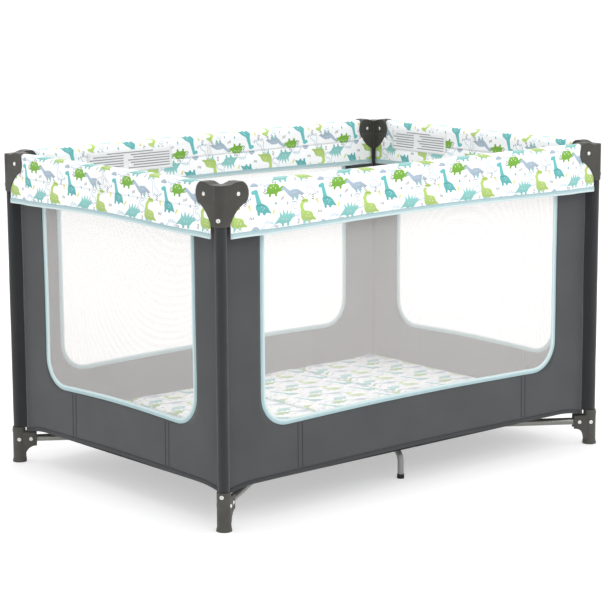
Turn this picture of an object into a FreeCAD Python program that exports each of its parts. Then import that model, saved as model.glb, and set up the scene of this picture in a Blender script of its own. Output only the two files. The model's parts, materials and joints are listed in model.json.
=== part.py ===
import FreeCAD
import Part

# Travel play yard: four posts joined by folding top rails and by diagonal tubes that
# meet at a central hub. Lifting the hub folds the frame. Sizes are in millimetres.
# The origin is on the floor under the hub. X runs along the long walls, Y along the
# short walls and Z up; the front long wall faces -Y.

import math
import os

# ---- overall frame -----------------------------------------------------------------
POST_SPACING_X = 1000.0     # between post axes, long side
POST_SPACING_Y = 686.0      # between post axes, short side
TOP_Z = 650.0               # top of the corner brackets
RAIL_Z = 628.0              # axis of the top rails
PIVOT_Z = 49.0              # axis height of the diagonal tubes' pins
GAP = 0.3                   # clearance between pieces that move past each other

# ---- tubes ---------------------------------------------------------------------------
POST_D = 19.0
POST_WALL = 1.2
POST_FOOT_Z = 6.0           # lower end of the post tube, inside the foot
POST_TOP_Z = 640.0          # upper end of the post tube, inside the bracket
RAIL_D = 18.0
RAIL_WALL = 1.0
DIAGONAL_D = 15.0
DIAGONAL_WALL = 1.2
TUBE_OVERHANG = 6.0         # how far a tube runs past its pin

# ---- pins and rivets -----------------------------------------------------------------
PIN_D = 6.0
PIN_CLEARANCE = 0.08        # radial, in a tube that turns on its pin
SEAT_CLEARANCE = 0.05       # radial, between fixed pieces that sit in each other
RIVET_HEAD_D = 8.5
RIVET_HEAD_H = 1.6
RIVET_CHAMFER = 0.6

# ---- top bracket -----------------------------------------------------------------------
RAIL_PIVOT_INSET = 32.0     # from the post axis to the rail's pin
BRACKET_WALL = 3.6
BRACKET_TIP_R = 25.0        # rounded wing end, about the rail's pin
BRACKET_SADDLE = 4.5        # dip of the top edge over the post
BRACKET_SADDLE_W = 16.0     # half width of that dip
BRACKET_NECK_Z = 588.0      # where the wing runs into the post sleeve
BRACKET_NECK_W = 18.0
BRACKET_LOW_Z = 569.0
BRACKET_SLEEVE_D = 27.0
BRACKET_RIVET_Z = 582.0

# ---- foot --------------------------------------------------------------------------------
FOOT_D = 27.0
FOOT_TOP_Z = 75.0
FOOT_FLARE_D = 31.0
FOOT_FLARE_H = 10.0
FOOT_PIVOT_INSET = 24.0     # from the post axis to the diagonal tube's pin
FOOT_EAR_TIP = 36.0
FOOT_EAR_LOW_Z = 34.0
FOOT_EAR_TOP_Z = 63.0
FOOT_EAR_ROOT_Z = 13.0      # where the hollow under the ears meets the leg
FOOT_EAR_WALL = 3.4
FOOT_RIVET_Z = 67.0

# ---- hub -----------------------------------------------------------------------------------
HUB_PIVOT_R = 85.0          # from the hub's axis to a diagonal tube's pin
HUB_CORE_R = 52.0
HUB_LOW_Z = 36.0
HUB_TOP_Z = 68.6
HUB_ARM_TOP_Z = 60.0
HUB_ARM_TIP = 12.0          # arm length past the pin
HUB_EAR_WALL = 3.6
LEG_PIVOT_Y = 60.0
STRAP_W = 28.0
STRAP_L = 76.0
STRAP_T = 1.2
STRAP_SLIT = 0.6            # space between the two layers of the folded strap

# ---- centre legs -------------------------------------------------------------------------
LEG_D = 12.7
LEG_WALL = 1.2
LEG_Z = 62.0                # axis of the horizontal run
LEG_Y = 286.0               # axis of the leg's foot
LEG_BEND_R = 28.0
LEG_CAP_D = 14.6
LEG_CAP_H = 9.0
LEG_CAP_FLOOR = 2.0

# ---- rail latches ------------------------------------------------------------------------
LATCH_WALL = 3.6
LATCH_END = 12.0            # shell length past the rail's pin
LATCH_LOW_Z = 612.0
LATCH_HIGH_Z = 641.0
BUTTON_D = 16.0
BUTTON_HEAD_T = 5.0
BUTTON_PROUD = 1.6
BUTTON_STEM_D = 7.0
BUTTON_Z = 620.0
BUTTON_TRAVEL = 4.0
SPRING_WIRE = 0.9
SPRING_TURNS = 3

# ---- fabric, floor panel and mattress -----------------------------------------------
WALL_INSET = 11.0           # post axis plane to wall mid-plane
FABRIC_T = 2.0
WALL_LOW_Z = 77.0
WALL_HIGH_Z = 600.0
SEAM_Z = 586.0              # where the wall is sewn to the rail cover's lining
SEAM_H = 3.0
COVER_ROOM = 0.9            # between a release button and the cover over it
COVER_T = 1.6
COVER_TOP_Z = 649.0
COVER_LOW_Z = 550.0
COVER_START = 58.0          # from the post axis to the end of the cover
WALL_NOTCH = 62.0           # wall is cut away this far beside the bracket
WALL_NOTCH_Z = 564.0
SLEEVE_T = 1.4
PANEL_LOW_Z = 72.0
PANEL_T = 3.0
MATTRESS_T = 21.0
MATTRESS_GAP = 1.2          # between the four hinged mattress boards
SOFT_GAP = 0.4              # between a soft piece and its neighbour
MATTRESS_CORNER_R = 22.0

# ---- derived places ------------------------------------------------------------------------
HALF_X = POST_SPACING_X / 2
HALF_Y = POST_SPACING_Y / 2
POST_RADIUS = math.hypot(HALF_X, HALF_Y)
COS_X = HALF_X / POST_RADIUS
COS_Y = HALF_Y / POST_RADIUS
DIAGONAL_ANGLE = math.degrees(math.atan2(HALF_Y, HALF_X))
DIAGONAL_LENGTH = POST_RADIUS - FOOT_PIVOT_INSET - HUB_PIVOT_R
# The latches are this long so that rails and diagonals fold by one and the same angle.
LATCH_HALF_X = COS_X * (HUB_PIVOT_R + FOOT_PIVOT_INSET) - RAIL_PIVOT_INSET
LATCH_HALF_Y = COS_Y * (HUB_PIVOT_R + FOOT_PIVOT_INSET) - RAIL_PIVOT_INSET
RAIL_LENGTH_X = COS_X * DIAGONAL_LENGTH
RAIL_LENGTH_Y = COS_Y * DIAGONAL_LENGTH
PIN_HOLE_D = PIN_D + 2 * SEAT_CLEARANCE
POST_SOCKET_D = POST_D + 2 * SEAT_CLEARANCE
BRACKET_T = RAIL_D + 2 * GAP + 2 * BRACKET_WALL
LATCH_T = RAIL_D + 2 * GAP + 2 * LATCH_WALL
# from the rail axis plane to the cover's outer face
COVER_REACH = LATCH_T / 2 + BUTTON_PROUD + COVER_ROOM + COVER_T

X_AXIS = FreeCAD.Vector(1, 0, 0)
Y_AXIS = FreeCAD.Vector(0, 1, 0)
Z_AXIS = FreeCAD.Vector(0, 0, 1)
ORIGIN = FreeCAD.Vector(0, 0, 0)
CORNERS = {
    "front_left": (-1, -1),
    "front_right": (1, -1),
    "back_left": (-1, 1),
    "back_right": (1, 1),
}


def vec(x, y, z):
    return FreeCAD.Vector(x, y, z)


def box(x0, x1, y0, y1, z0, z1):
    """Box between two corners."""
    return Part.makeBox(x1 - x0, y1 - y0, z1 - z0, vec(x0, y0, z0))


def rod(d, start, end):
    """Solid cylinder from one point to another."""
    run = end - start
    return Part.makeCylinder(d / 2, run.Length, start, run)


def pipe(d, wall, start, end):
    """Hollow round tube from one point to another."""
    return rod(d, start, end).cut(rod(d - 2 * wall, start, end))


def plate(edges, thickness):
    """Face of an outline in the XZ plane, thickened equally to both sides along Y."""
    face = Part.Face(Part.Wire(edges))
    face.translate(vec(0, -thickness / 2, 0))
    return face.extrude(vec(0, thickness, 0))


def line(a, b):
    return Part.LineSegment(vec(a[0], 0, a[1]), vec(b[0], 0, b[1])).toShape()


def arc(a, mid, b):
    points = [vec(p[0], 0, p[1]) for p in (a, mid, b)]
    return Part.Arc(*points).toShape()


def on_circle(centre, radius, degrees):
    """Point on a circle in the XZ plane."""
    turn = math.radians(degrees)
    return (centre[0] + radius * math.cos(turn), centre[1] + radius * math.sin(turn))


def turned(shape, degrees):
    """Copy of a shape turned about the Z axis."""
    copy = shape.copy()
    copy.rotate(ORIGIN, Z_AXIS, degrees)
    return copy


def moved(shape, x, y, z):
    copy = shape.copy()
    copy.translate(vec(x, y, z))
    return copy


def at_corner(shape, sign_x, sign_y):
    """A shape made for the corner at +X +Y, mirrored to another corner."""
    copy = shape
    if sign_x < 0:
        copy = copy.mirror(ORIGIN, X_AXIS)
    if sign_y < 0:
        copy = copy.mirror(ORIGIN, Y_AXIS)
    return copy


def from_post(shape):
    """A shape drawn with the post axis as origin and +X and +Y towards the middle of
    the sides, carried to the corner at +X +Y."""
    return moved(turned(shape, 180), HALF_X, HALF_Y, 0)


def on_diagonal(shape):
    """A shape drawn from the post axis towards the hub along +X, carried to the
    corner at +X +Y."""
    return moved(turned(shape, 180 + DIAGONAL_ANGLE), HALF_X, HALF_Y, 0)


def swapped(shape):
    """Mirror image that swaps X and Y, for the wing along the other side."""
    return shape.mirror(ORIGIN, vec(1, -1, 0))


def rivet(d, length):
    """Rivet along Y, centred at the origin, with a chamfered head at each end."""
    half = length / 2
    shaft = rod(d, vec(0, -half, 0), vec(0, half, 0))
    head_r = RIVET_HEAD_D / 2
    rim = RIVET_HEAD_H - RIVET_CHAMFER
    low = Part.makeCylinder(head_r, rim, vec(0, half, 0), Y_AXIS)
    dome = Part.makeCone(head_r, head_r - RIVET_CHAMFER, RIVET_CHAMFER,
                         vec(0, half + rim, 0), Y_AXIS)
    head = low.fuse(dome)
    return shaft.fuse([head, head.mirror(ORIGIN, Y_AXIS)]).removeSplitter()


def link_tube(length, d, wall):
    """Tube along X between two cross pins, the first pin at the origin."""
    body = pipe(d, wall, vec(-TUBE_OVERHANG, 0, 0), vec(length + TUBE_OVERHANG, 0, 0))
    for x in (0, length):
        hole_d = PIN_D + 2 * PIN_CLEARANCE
        body = body.cut(rod(hole_d, vec(x, -d, 0), vec(x, d, 0)))
    return body


def swing_room(d):
    """Distance from a pin that clears the square end of a tube at any angle."""
    return math.hypot(TUBE_OVERHANG, d / 2) + GAP


# ---- corner pieces -----------------------------------------------------------------------
def post_tube():
    tube = pipe(POST_D, POST_WALL, vec(0, 0, POST_FOOT_Z), vec(0, 0, POST_TOP_Z))
    cross = rod(PIN_HOLE_D, vec(0, -POST_D, PIVOT_Z), vec(0, POST_D, PIVOT_Z))
    tube = tube.cut(turned(cross, DIAGONAL_ANGLE))
    for z in (BRACKET_RIVET_Z, FOOT_RIVET_Z):
        along = rod(PIN_HOLE_D, vec(-POST_D, 0, z), vec(0, 0, z))
        tube = tube.cut(turned(along, DIAGONAL_ANGLE))
    return from_post(tube)


def bracket_wing():
    """One wing of the top bracket, from the post axis along +X."""
    pin = (RAIL_PIVOT_INSET, RAIL_Z)
    saddle_z = TOP_Z - BRACKET_SADDLE
    hump = (RAIL_PIVOT_INSET - 2, TOP_Z)
    tip_top = on_circle(pin, BRACKET_TIP_R, math.degrees(
        math.asin((TOP_Z - RAIL_Z) / BRACKET_TIP_R)))
    tip_mid = on_circle(pin, BRACKET_TIP_R, 8)
    tip_low = on_circle(pin, BRACKET_TIP_R, -45)
    neck = (BRACKET_NECK_W, BRACKET_NECK_Z)
    sweep = ((tip_low[0] + neck[0]) / 2 - 3, (tip_low[1] + neck[1]) / 2 + 3)
    sleeve_r = BRACKET_SLEEVE_D / 2
    edges = [
        line((0, saddle_z), (BRACKET_SADDLE_W, saddle_z)),
        line((BRACKET_SADDLE_W, saddle_z), hump),
        line(hump, tip_top),
        arc(tip_top, tip_mid, tip_low),
        arc(tip_low, sweep, neck),
        line(neck, (sleeve_r - 2, BRACKET_LOW_Z)),
        line((sleeve_r - 2, BRACKET_LOW_Z), (0, BRACKET_LOW_Z)),
        line((0, BRACKET_LOW_Z), (0, saddle_z)),
    ]
    wing = plate(edges, BRACKET_T)
    room = swing_room(RAIL_D)
    slot_t = RAIL_D / 2 + GAP
    slot = box(RAIL_PIVOT_INSET - room, RAIL_PIVOT_INSET + 2 * BRACKET_TIP_R,
               -slot_t, slot_t, BRACKET_LOW_Z - 1, RAIL_Z + room)
    pin_hole = rod(PIN_HOLE_D, vec(pin[0], -BRACKET_T, pin[1]), vec(pin[0], BRACKET_T, pin[1]))
    return wing.cut(slot).cut(pin_hole)


def top_bracket():
    wing = bracket_wing()
    sleeve = rod(BRACKET_SLEEVE_D, vec(0, 0, BRACKET_LOW_Z),
                 vec(0, 0, TOP_Z - BRACKET_SADDLE))
    body = sleeve.fuse([wing, swapped(wing)])
    body = body.cut(rod(POST_SOCKET_D, vec(0, 0, BRACKET_LOW_Z - 1), vec(0, 0, POST_TOP_Z)))
    # the rails' swing space is cut again where the other wing's root reaches into it
    room = swing_room(RAIL_D)
    reach = RAIL_D / 2 + GAP
    slot = box(RAIL_PIVOT_INSET - room, RAIL_PIVOT_INSET + 2 * BRACKET_TIP_R,
               -reach, reach, BRACKET_LOW_Z - 1, RAIL_Z + room)
    body = body.cut(slot).cut(swapped(slot))
    rivet_hole = rod(PIN_HOLE_D, vec(-BRACKET_SLEEVE_D, 0, BRACKET_RIVET_Z),
                     vec(0, 0, BRACKET_RIVET_Z))
    body = body.cut(turned(rivet_hole, DIAGONAL_ANGLE))
    return from_post(body)


def foot():
    """Foot with two ears for the diagonal tube; drawn with the ears along +X."""
    leg = rod(FOOT_D, ORIGIN, vec(0, 0, FOOT_TOP_Z))
    flare = Part.makeCone(FOOT_FLARE_D / 2, FOOT_D / 2, FOOT_FLARE_H)
    ear_t = DIAGONAL_D + 2 * GAP + 2 * FOOT_EAR_WALL
    hollow_r = FOOT_EAR_TIP - FOOT_D / 2
    hollow_mid = on_circle((FOOT_EAR_TIP, FOOT_EAR_ROOT_Z), hollow_r, 135)
    hollow_mid = (hollow_mid[0], min(hollow_mid[1], FOOT_EAR_LOW_Z - 4))
    root_x = FOOT_D / 2 - 1
    edges = [
        line((0, FOOT_EAR_TOP_Z), (FOOT_EAR_TIP, FOOT_EAR_TOP_Z)),
        line((FOOT_EAR_TIP, FOOT_EAR_TOP_Z), (FOOT_EAR_TIP, FOOT_EAR_LOW_Z)),
        arc((FOOT_EAR_TIP, FOOT_EAR_LOW_Z), hollow_mid, (root_x, FOOT_EAR_ROOT_Z)),
        line((root_x, FOOT_EAR_ROOT_Z), (0, FOOT_EAR_ROOT_Z)),
        line((0, FOOT_EAR_ROOT_Z), (0, FOOT_EAR_TOP_Z)),
    ]
    body = leg.fuse([flare, plate(edges, ear_t)])
    slot_t = DIAGONAL_D / 2 + GAP
    slot_x = FOOT_PIVOT_INSET - swing_room(DIAGONAL_D)
    slot = box(slot_x, FOOT_EAR_TIP + 1, -slot_t, slot_t, 0, FOOT_TOP_Z + 1)
    body = body.cut(slot)
    body = body.cut(rod(POST_SOCKET_D, vec(0, 0, POST_FOOT_Z), vec(0, 0, FOOT_TOP_Z + 1)))
    for x in (0, FOOT_PIVOT_INSET):
        body = body.cut(rod(PIN_HOLE_D, vec(x, -FOOT_D, PIVOT_Z), vec(x, FOOT_D, PIVOT_Z)))
    body = body.cut(rod(PIN_HOLE_D, vec(-FOOT_D, 0, FOOT_RIVET_Z), vec(0, 0, FOOT_RIVET_Z)))
    return on_diagonal(body)


def blind_rivet(z, sleeve_d):
    """Rivet through a sleeve and the post's outer wall, on the side away from +X."""
    outer = sleeve_d / 2
    inner = POST_D / 2 - POST_WALL
    shaft = rod(PIN_D, vec(-outer, 0, z), vec(-inner, 0, z))
    head_r = RIVET_HEAD_D / 2
    head = Part.makeCone(head_r - RIVET_CHAMFER, head_r, RIVET_HEAD_H,
                         vec(-outer - RIVET_HEAD_H, 0, z), X_AXIS)
    # the head's seat follows the round sleeve
    seat = rod(RIVET_HEAD_D - 0.2, vec(-outer, 0, z), vec(-outer + 1.0, 0, z))
    seat = seat.cut(rod(sleeve_d, vec(0, 0, z - RIVET_HEAD_D), vec(0, 0, z + RIVET_HEAD_D)))
    return shaft.fuse([head, seat]).removeSplitter()


def corner_rivets():
    """All rivets of one corner: two rail pins, the bracket's, and three in the foot."""
    rail_pin = moved(rivet(PIN_D, BRACKET_T), RAIL_PIVOT_INSET, 0, RAIL_Z)
    ear_t = DIAGONAL_D + 2 * GAP + 2 * FOOT_EAR_WALL
    foot_pin = moved(rivet(PIN_D, ear_t), FOOT_PIVOT_INSET, 0, PIVOT_Z)
    foot_rivet = moved(rivet(PIN_D, FOOT_D), 0, 0, PIVOT_Z)
    pieces = [from_post(rail_pin), from_post(swapped(rail_pin))]
    pieces += [on_diagonal(foot_pin), on_diagonal(foot_rivet)]
    pieces.append(on_diagonal(blind_rivet(BRACKET_RIVET_Z, BRACKET_SLEEVE_D)))
    pieces.append(on_diagonal(blind_rivet(FOOT_RIVET_Z, FOOT_D)))
    return Part.makeCompound(pieces)


def wall_fabric():
    """A quarter of the sewn enclosure: half of each wall that meets at the corner, the
    rail covers above them and the sleeve round the post."""
    mid = WALL_INSET
    t = FABRIC_T / 2

    def half_side(length):
        notch = box(0, WALL_NOTCH, mid - 2 * t, mid + 2 * t, WALL_NOTCH_Z, WALL_HIGH_Z + 1)
        wall = box(mid - t, length, mid - t, mid + t, WALL_LOW_Z, WALL_HIGH_Z).cut(notch)
        inner = COVER_REACH - COVER_T
        cover = box(COVER_START, length, -COVER_REACH, COVER_REACH, COVER_LOW_Z, COVER_TOP_Z)
        cover = cover.cut(box(COVER_START - 1, length + 1, -inner, inner,
                              COVER_LOW_Z - 1, COVER_TOP_Z - COVER_T))
        seam = box(WALL_NOTCH, length, mid, inner + COVER_T / 2, SEAM_Z, SEAM_Z + SEAM_H)
        return wall.fuse([cover, seam])

    sleeve_r = POST_D / 2 + SOFT_GAP
    top = WALL_NOTCH_Z - 1
    sleeve = rod(2 * (sleeve_r + SLEEVE_T), vec(0, 0, WALL_LOW_Z), vec(0, 0, top))
    web = box(0, math.hypot(mid, mid) + t, -t, t, WALL_LOW_Z, top)
    web.rotate(ORIGIN, Z_AXIS, 45)
    sleeve = sleeve.fuse(web)
    sleeve = sleeve.cut(rod(2 * sleeve_r, vec(0, 0, WALL_LOW_Z - 1), vec(0, 0, top + 1)))
    quarter = sleeve.fuse([half_side(HALF_X - GAP / 2), swapped(half_side(HALF_Y - GAP / 2))])
    return from_post(quarter.removeSplitter())


# ---- hub and what hangs on it ---------------------------------------------------------
def diagonal_tube():
    """Diagonal tube from the hub's pin to the foot's pin, along the +X +Y diagonal."""
    tube = link_tube(DIAGONAL_LENGTH, DIAGONAL_D, DIAGONAL_WALL)
    return turned(moved(tube, HUB_PIVOT_R, 0, PIVOT_Z), DIAGONAL_ANGLE)


def hub_arm():
    """Forked arm for one diagonal tube, along +X."""
    arm_t = DIAGONAL_D + 2 * GAP + 2 * HUB_EAR_WALL
    tip = HUB_PIVOT_R + HUB_ARM_TIP
    arm = box(0, tip, -arm_t / 2, arm_t / 2, HUB_LOW_Z, HUB_ARM_TOP_Z)
    corner = math.sqrt(2) * HUB_ARM_TIP / 2
    for z in (HUB_LOW_Z, HUB_ARM_TOP_Z):
        edge = box(-corner, corner, -arm_t, arm_t, -corner, corner)
        edge.rotate(ORIGIN, Y_AXIS, 45)
        arm = arm.cut(moved(edge, tip, 0, z))
    return arm


def hub_slot():
    half = DIAGONAL_D / 2 + GAP
    start = HUB_PIVOT_R - swing_room(DIAGONAL_D)
    slot = box(start, HUB_PIVOT_R + 2 * HUB_ARM_TIP, -half, half, HUB_LOW_Z - 1, HUB_TOP_Z + 1)
    pin = rod(PIN_HOLE_D, vec(HUB_PIVOT_R, -2 * DIAGONAL_D, PIVOT_Z),
              vec(HUB_PIVOT_R, 2 * DIAGONAL_D, PIVOT_Z))
    return slot.fuse(pin)


def leg_fork_t():
    return LEG_D + 2 * GAP + 2 * HUB_EAR_WALL


def hub_body():
    core = rod(2 * HUB_CORE_R, vec(0, 0, HUB_LOW_Z), vec(0, 0, HUB_TOP_Z))
    angles = [DIAGONAL_ANGLE, 180 - DIAGONAL_ANGLE, 180 + DIAGONAL_ANGLE, -DIAGONAL_ANGLE]
    arms = [turned(hub_arm(), a) for a in angles]
    reach = LEG_PIVOT_Y + LEG_D
    half_fork = leg_fork_t() / 2
    fork = box(-half_fork, half_fork, -reach, reach, HUB_LOW_Z + 6, HUB_TOP_Z)
    body = core.fuse(arms + [fork])
    for a in angles:
        body = body.cut(turned(hub_slot(), a))
    half_slot = LEG_D / 2 + GAP
    for side in (-1, 1):
        inner = LEG_PIVOT_Y - swing_room(LEG_D)
        near, far = sorted((side * inner, side * (reach + 1)))
        body = body.cut(box(-half_slot, half_slot, near, far, HUB_LOW_Z - 1, HUB_TOP_Z + 1))
        y = side * LEG_PIVOT_Y
        body = body.cut(rod(PIN_HOLE_D, vec(-HUB_CORE_R, y, LEG_Z), vec(HUB_CORE_R, y, LEG_Z)))
    # hollow underside, as a moulded hub has
    shell = 4.0
    hollow_r = LEG_PIVOT_Y - swing_room(LEG_D) - shell
    hollow = rod(2 * hollow_r, vec(0, 0, HUB_LOW_Z - 1), vec(0, 0, HUB_TOP_Z - shell))
    return body.cut(hollow)


def hub_pins():
    arm_t = DIAGONAL_D + 2 * GAP + 2 * HUB_EAR_WALL
    pin = moved(rivet(PIN_D, arm_t), HUB_PIVOT_R, 0, PIVOT_Z)
    angles = [DIAGONAL_ANGLE, 180 - DIAGONAL_ANGLE, 180 + DIAGONAL_ANGLE, -DIAGONAL_ANGLE]
    pins = [turned(pin, a) for a in angles]
    for side in (-1, 1):
        y = side * LEG_PIVOT_Y
        leg_pin = turned(rivet(PIN_D, leg_fork_t()), 90)
        pins.append(moved(leg_pin, 0, y, LEG_Z))
    return Part.makeCompound(pins)


def pull_strap():
    """Webbing pull loop, folded flat on top of the hub."""
    half_l, half_w = STRAP_L / 2, STRAP_W / 2
    total = 2 * STRAP_T + STRAP_SLIT
    loop = box(-half_l, half_l, -half_w, half_w, HUB_TOP_Z, HUB_TOP_Z + total)
    slit = box(-half_l + STRAP_T, half_l - STRAP_T, -half_w - 1, half_w + 1,
               HUB_TOP_Z + STRAP_T, HUB_TOP_Z + STRAP_T + STRAP_SLIT)
    return loop.cut(slit)


def leg_path(start_y):
    """Path of a centre leg towards +Y: out along the floor panel, then down."""
    bend_y = LEG_Y - LEG_BEND_R
    bend_z = LEG_Z - LEG_BEND_R
    turn = math.radians(45)
    mid = vec(0, bend_y + LEG_BEND_R * math.sin(turn), bend_z + LEG_BEND_R * math.cos(turn))
    run = Part.LineSegment(vec(0, start_y, LEG_Z), vec(0, bend_y, LEG_Z)).toShape()
    bend = Part.Arc(vec(0, bend_y, LEG_Z), mid, vec(0, LEG_Y, bend_z)).toShape()
    drop = Part.LineSegment(vec(0, LEG_Y, bend_z), vec(0, LEG_Y, LEG_CAP_FLOOR)).toShape()
    return Part.Wire([run, bend, drop])


def centre_leg():
    start_y = LEG_PIVOT_Y - TUBE_OVERHANG
    path = leg_path(start_y)
    shells = []
    for d in (LEG_D, LEG_D - 2 * LEG_WALL):
        ring = Part.Wire(Part.makeCircle(d / 2, vec(0, start_y, LEG_Z), Y_AXIS))
        shells.append(path.makePipeShell([ring], True, True))
    leg = shells[0].cut(shells[1])
    hole_d = PIN_D + 2 * PIN_CLEARANCE
    return leg.cut(rod(hole_d, vec(-LEG_D, LEG_PIVOT_Y, LEG_Z), vec(LEG_D, LEG_PIVOT_Y, LEG_Z)))


def centre_leg_cap():
    cap = rod(LEG_CAP_D, vec(0, LEG_Y, 0), vec(0, LEG_Y, LEG_CAP_H))
    return cap.cut(rod(LEG_D, vec(0, LEG_Y, LEG_CAP_FLOOR), vec(0, LEG_Y, LEG_CAP_H + 1)))


# ---- rails and latches -------------------------------------------------------------------
def long_rail():
    """Half rail of a long side at the corner +X +Y."""
    tube = link_tube(RAIL_LENGTH_X, RAIL_D, RAIL_WALL)
    return moved(tube, LATCH_HALF_X, HALF_Y, RAIL_Z)


def short_rail():
    tube = turned(link_tube(RAIL_LENGTH_Y, RAIL_D, RAIL_WALL), 90)
    return moved(tube, HALF_X, LATCH_HALF_Y, RAIL_Z)


def latch_shell(half_pitch, outer):
    """One of a latch's two shells, drawn along X with the outside of the yard at -Y."""
    out = LATCH_T / 2
    inside = out - LATCH_WALL
    split = GAP / 2
    end = half_pitch + LATCH_END
    block = half_pitch - swing_room(RAIL_D)
    skin = box(-end, end, -out, -inside, LATCH_LOW_Z, LATCH_HIGH_Z)
    core = box(-block, block, -inside, -split, LATCH_LOW_Z, LATCH_HIGH_Z)
    shell = skin.fuse(core)
    for x in (-half_pitch, half_pitch):
        shell = shell.fuse(rod(PIN_D, vec(x, -inside, RAIL_Z), vec(x, -split, RAIL_Z)))
    shell = shell.removeSplitter()
    if outer:
        # bore for the button's head and stem, with the spring's seat between them
        head = rod(BUTTON_D + 2 * GAP, vec(0, -out - 1, BUTTON_Z), vec(0, -split + 1, BUTTON_Z))
        return shell.cut(head)
    return shell.mirror(ORIGIN, Y_AXIS)


def release_button():
    """Round push button in the outer shell, drawn with the outside at -Y."""
    face = -LATCH_T / 2 - BUTTON_PROUD
    head = rod(BUTTON_D, vec(0, face, BUTTON_Z), vec(0, face + BUTTON_HEAD_T, BUTTON_Z))
    stem_end = -GAP - BUTTON_TRAVEL - GAP
    stem = rod(BUTTON_STEM_D, vec(0, face, BUTTON_Z), vec(0, stem_end, BUTTON_Z))
    return head.fuse(stem).removeSplitter()


def button_spring():
    """Wire return spring round the button's stem: rings from the button's head to the
    inner shell, each joined to the next on the opposite side."""
    start = -LATCH_T / 2 - BUTTON_PROUD + BUTTON_HEAD_T + SPRING_WIRE / 2 + GAP / 3
    end = GAP / 2 - SPRING_WIRE / 2 - GAP / 6
    ring_r = (BUTTON_STEM_D + BUTTON_D) / 4
    pitch = (end - start) / SPRING_TURNS
    rings = []
    links = []
    for turn in range(SPRING_TURNS + 1):
        y = start + turn * pitch
        rings.append(Part.makeTorus(ring_r, SPRING_WIRE / 2, vec(0, y, 0), Y_AXIS))
        if turn < SPRING_TURNS:
            x = ring_r if turn % 2 else -ring_r
            links.append(rod(SPRING_WIRE * 0.8, vec(x, y, 0), vec(x, y + pitch, 0)))
    spring = rings[0].fuse(rings[1:] + links)
    return moved(spring, 0, 0, BUTTON_Z)


# ---- floor panel and mattress ----------------------------------------------------------
def floor_extent():
    """Half sizes of the space inside the walls."""
    inset = WALL_INSET + FABRIC_T / 2 + SOFT_GAP
    return HALF_X - inset, HALF_Y - inset


def floor_panel():
    """Fabric floor under the mattress, with its corners cut clear of the posts."""
    half_x, half_y = floor_extent()
    sheet = box(-half_x, half_x, -half_y, half_y, PANEL_LOW_Z, PANEL_LOW_Z + PANEL_T)
    for sign_x, sign_y in CORNERS.values():
        clear = FOOT_D + 2 * SOFT_GAP
        x, y = sign_x * HALF_X, sign_y * HALF_Y
        sheet = sheet.cut(rod(clear, vec(x, y, PANEL_LOW_Z - 1), vec(x, y, PANEL_LOW_Z + 9)))
    return sheet


def mattress_board(index):
    """One of the four hinged boards of the mattress, counted from -X."""
    half_x, half_y = floor_extent()
    half_x -= 1.0
    half_y -= 1.0
    pitch = 2 * half_x / 4
    x0 = -half_x + index * pitch + (MATTRESS_GAP / 2 if index > 0 else 0)
    x1 = -half_x + (index + 1) * pitch - (MATTRESS_GAP / 2 if index < 3 else 0)
    z0 = PANEL_LOW_Z + PANEL_T + SOFT_GAP
    board = box(x0, x1, -half_y, half_y, z0, z0 + MATTRESS_T)
    outer_x = {0: x0, 3: x1}.get(index)
    if outer_x is None:
        return board
    edges = [e for e in board.Edges
             if abs(e.CenterOfMass.x - outer_x) < 0.01
             and abs(abs(e.CenterOfMass.y) - half_y) < 0.01]
    return board.makeFillet(MATTRESS_CORNER_R, edges)


def save(shape, name):
    shape.exportStep("parts/" + name + ".step")


def main():
    os.makedirs("parts", exist_ok=True)
    corner_parts = {
        "post_tube": post_tube(),
        "top_bracket": top_bracket(),
        "foot": foot(),
        "corner_rivets": corner_rivets(),
        "wall_fabric": wall_fabric(),
        "diagonal_tube": diagonal_tube(),
        "long_rail": long_rail(),
        "short_rail": short_rail(),
    }
    for corner, signs in CORNERS.items():
        for name, shape in corner_parts.items():
            save(at_corner(shape, *signs), name + "_" + corner)

    save(hub_body(), "hub_body")
    save(hub_pins(), "hub_pins")
    save(pull_strap(), "pull_strap")
    for name, sign in (("back", 1), ("front", -1)):
        save(at_corner(centre_leg(), 1, sign), "centre_leg_" + name)
        save(at_corner(centre_leg_cap(), 1, sign), "centre_leg_cap_" + name)

    sides = {
        "front": (0, 0, -HALF_Y, LATCH_HALF_X),
        "right": (90, HALF_X, 0, LATCH_HALF_Y),
        "back": (180, 0, HALF_Y, LATCH_HALF_X),
        "left": (-90, -HALF_X, 0, LATCH_HALF_Y),
    }
    for side, (turn, x, y, half_pitch) in sides.items():
        pieces = {
            "latch_outer_shell_": latch_shell(half_pitch, True),
            "latch_inner_shell_": latch_shell(half_pitch, False),
            "release_button_": release_button(),
            "button_spring_": button_spring(),
        }
        for name, shape in pieces.items():
            save(moved(turned(shape, turn), x, y, 0), name + side)

    save(floor_panel(), "floor_panel")
    for index in range(4):
        save(mattress_board(index), "mattress_board_" + str(index + 1))


main()
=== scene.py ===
import json
import logging
import math
from dataclasses import dataclass
from enum import Enum
from typing import Callable, Iterable, Sequence, Union

import bmesh
import bpy
import numpy as np
from mathutils import Matrix, Vector, noise


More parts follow.
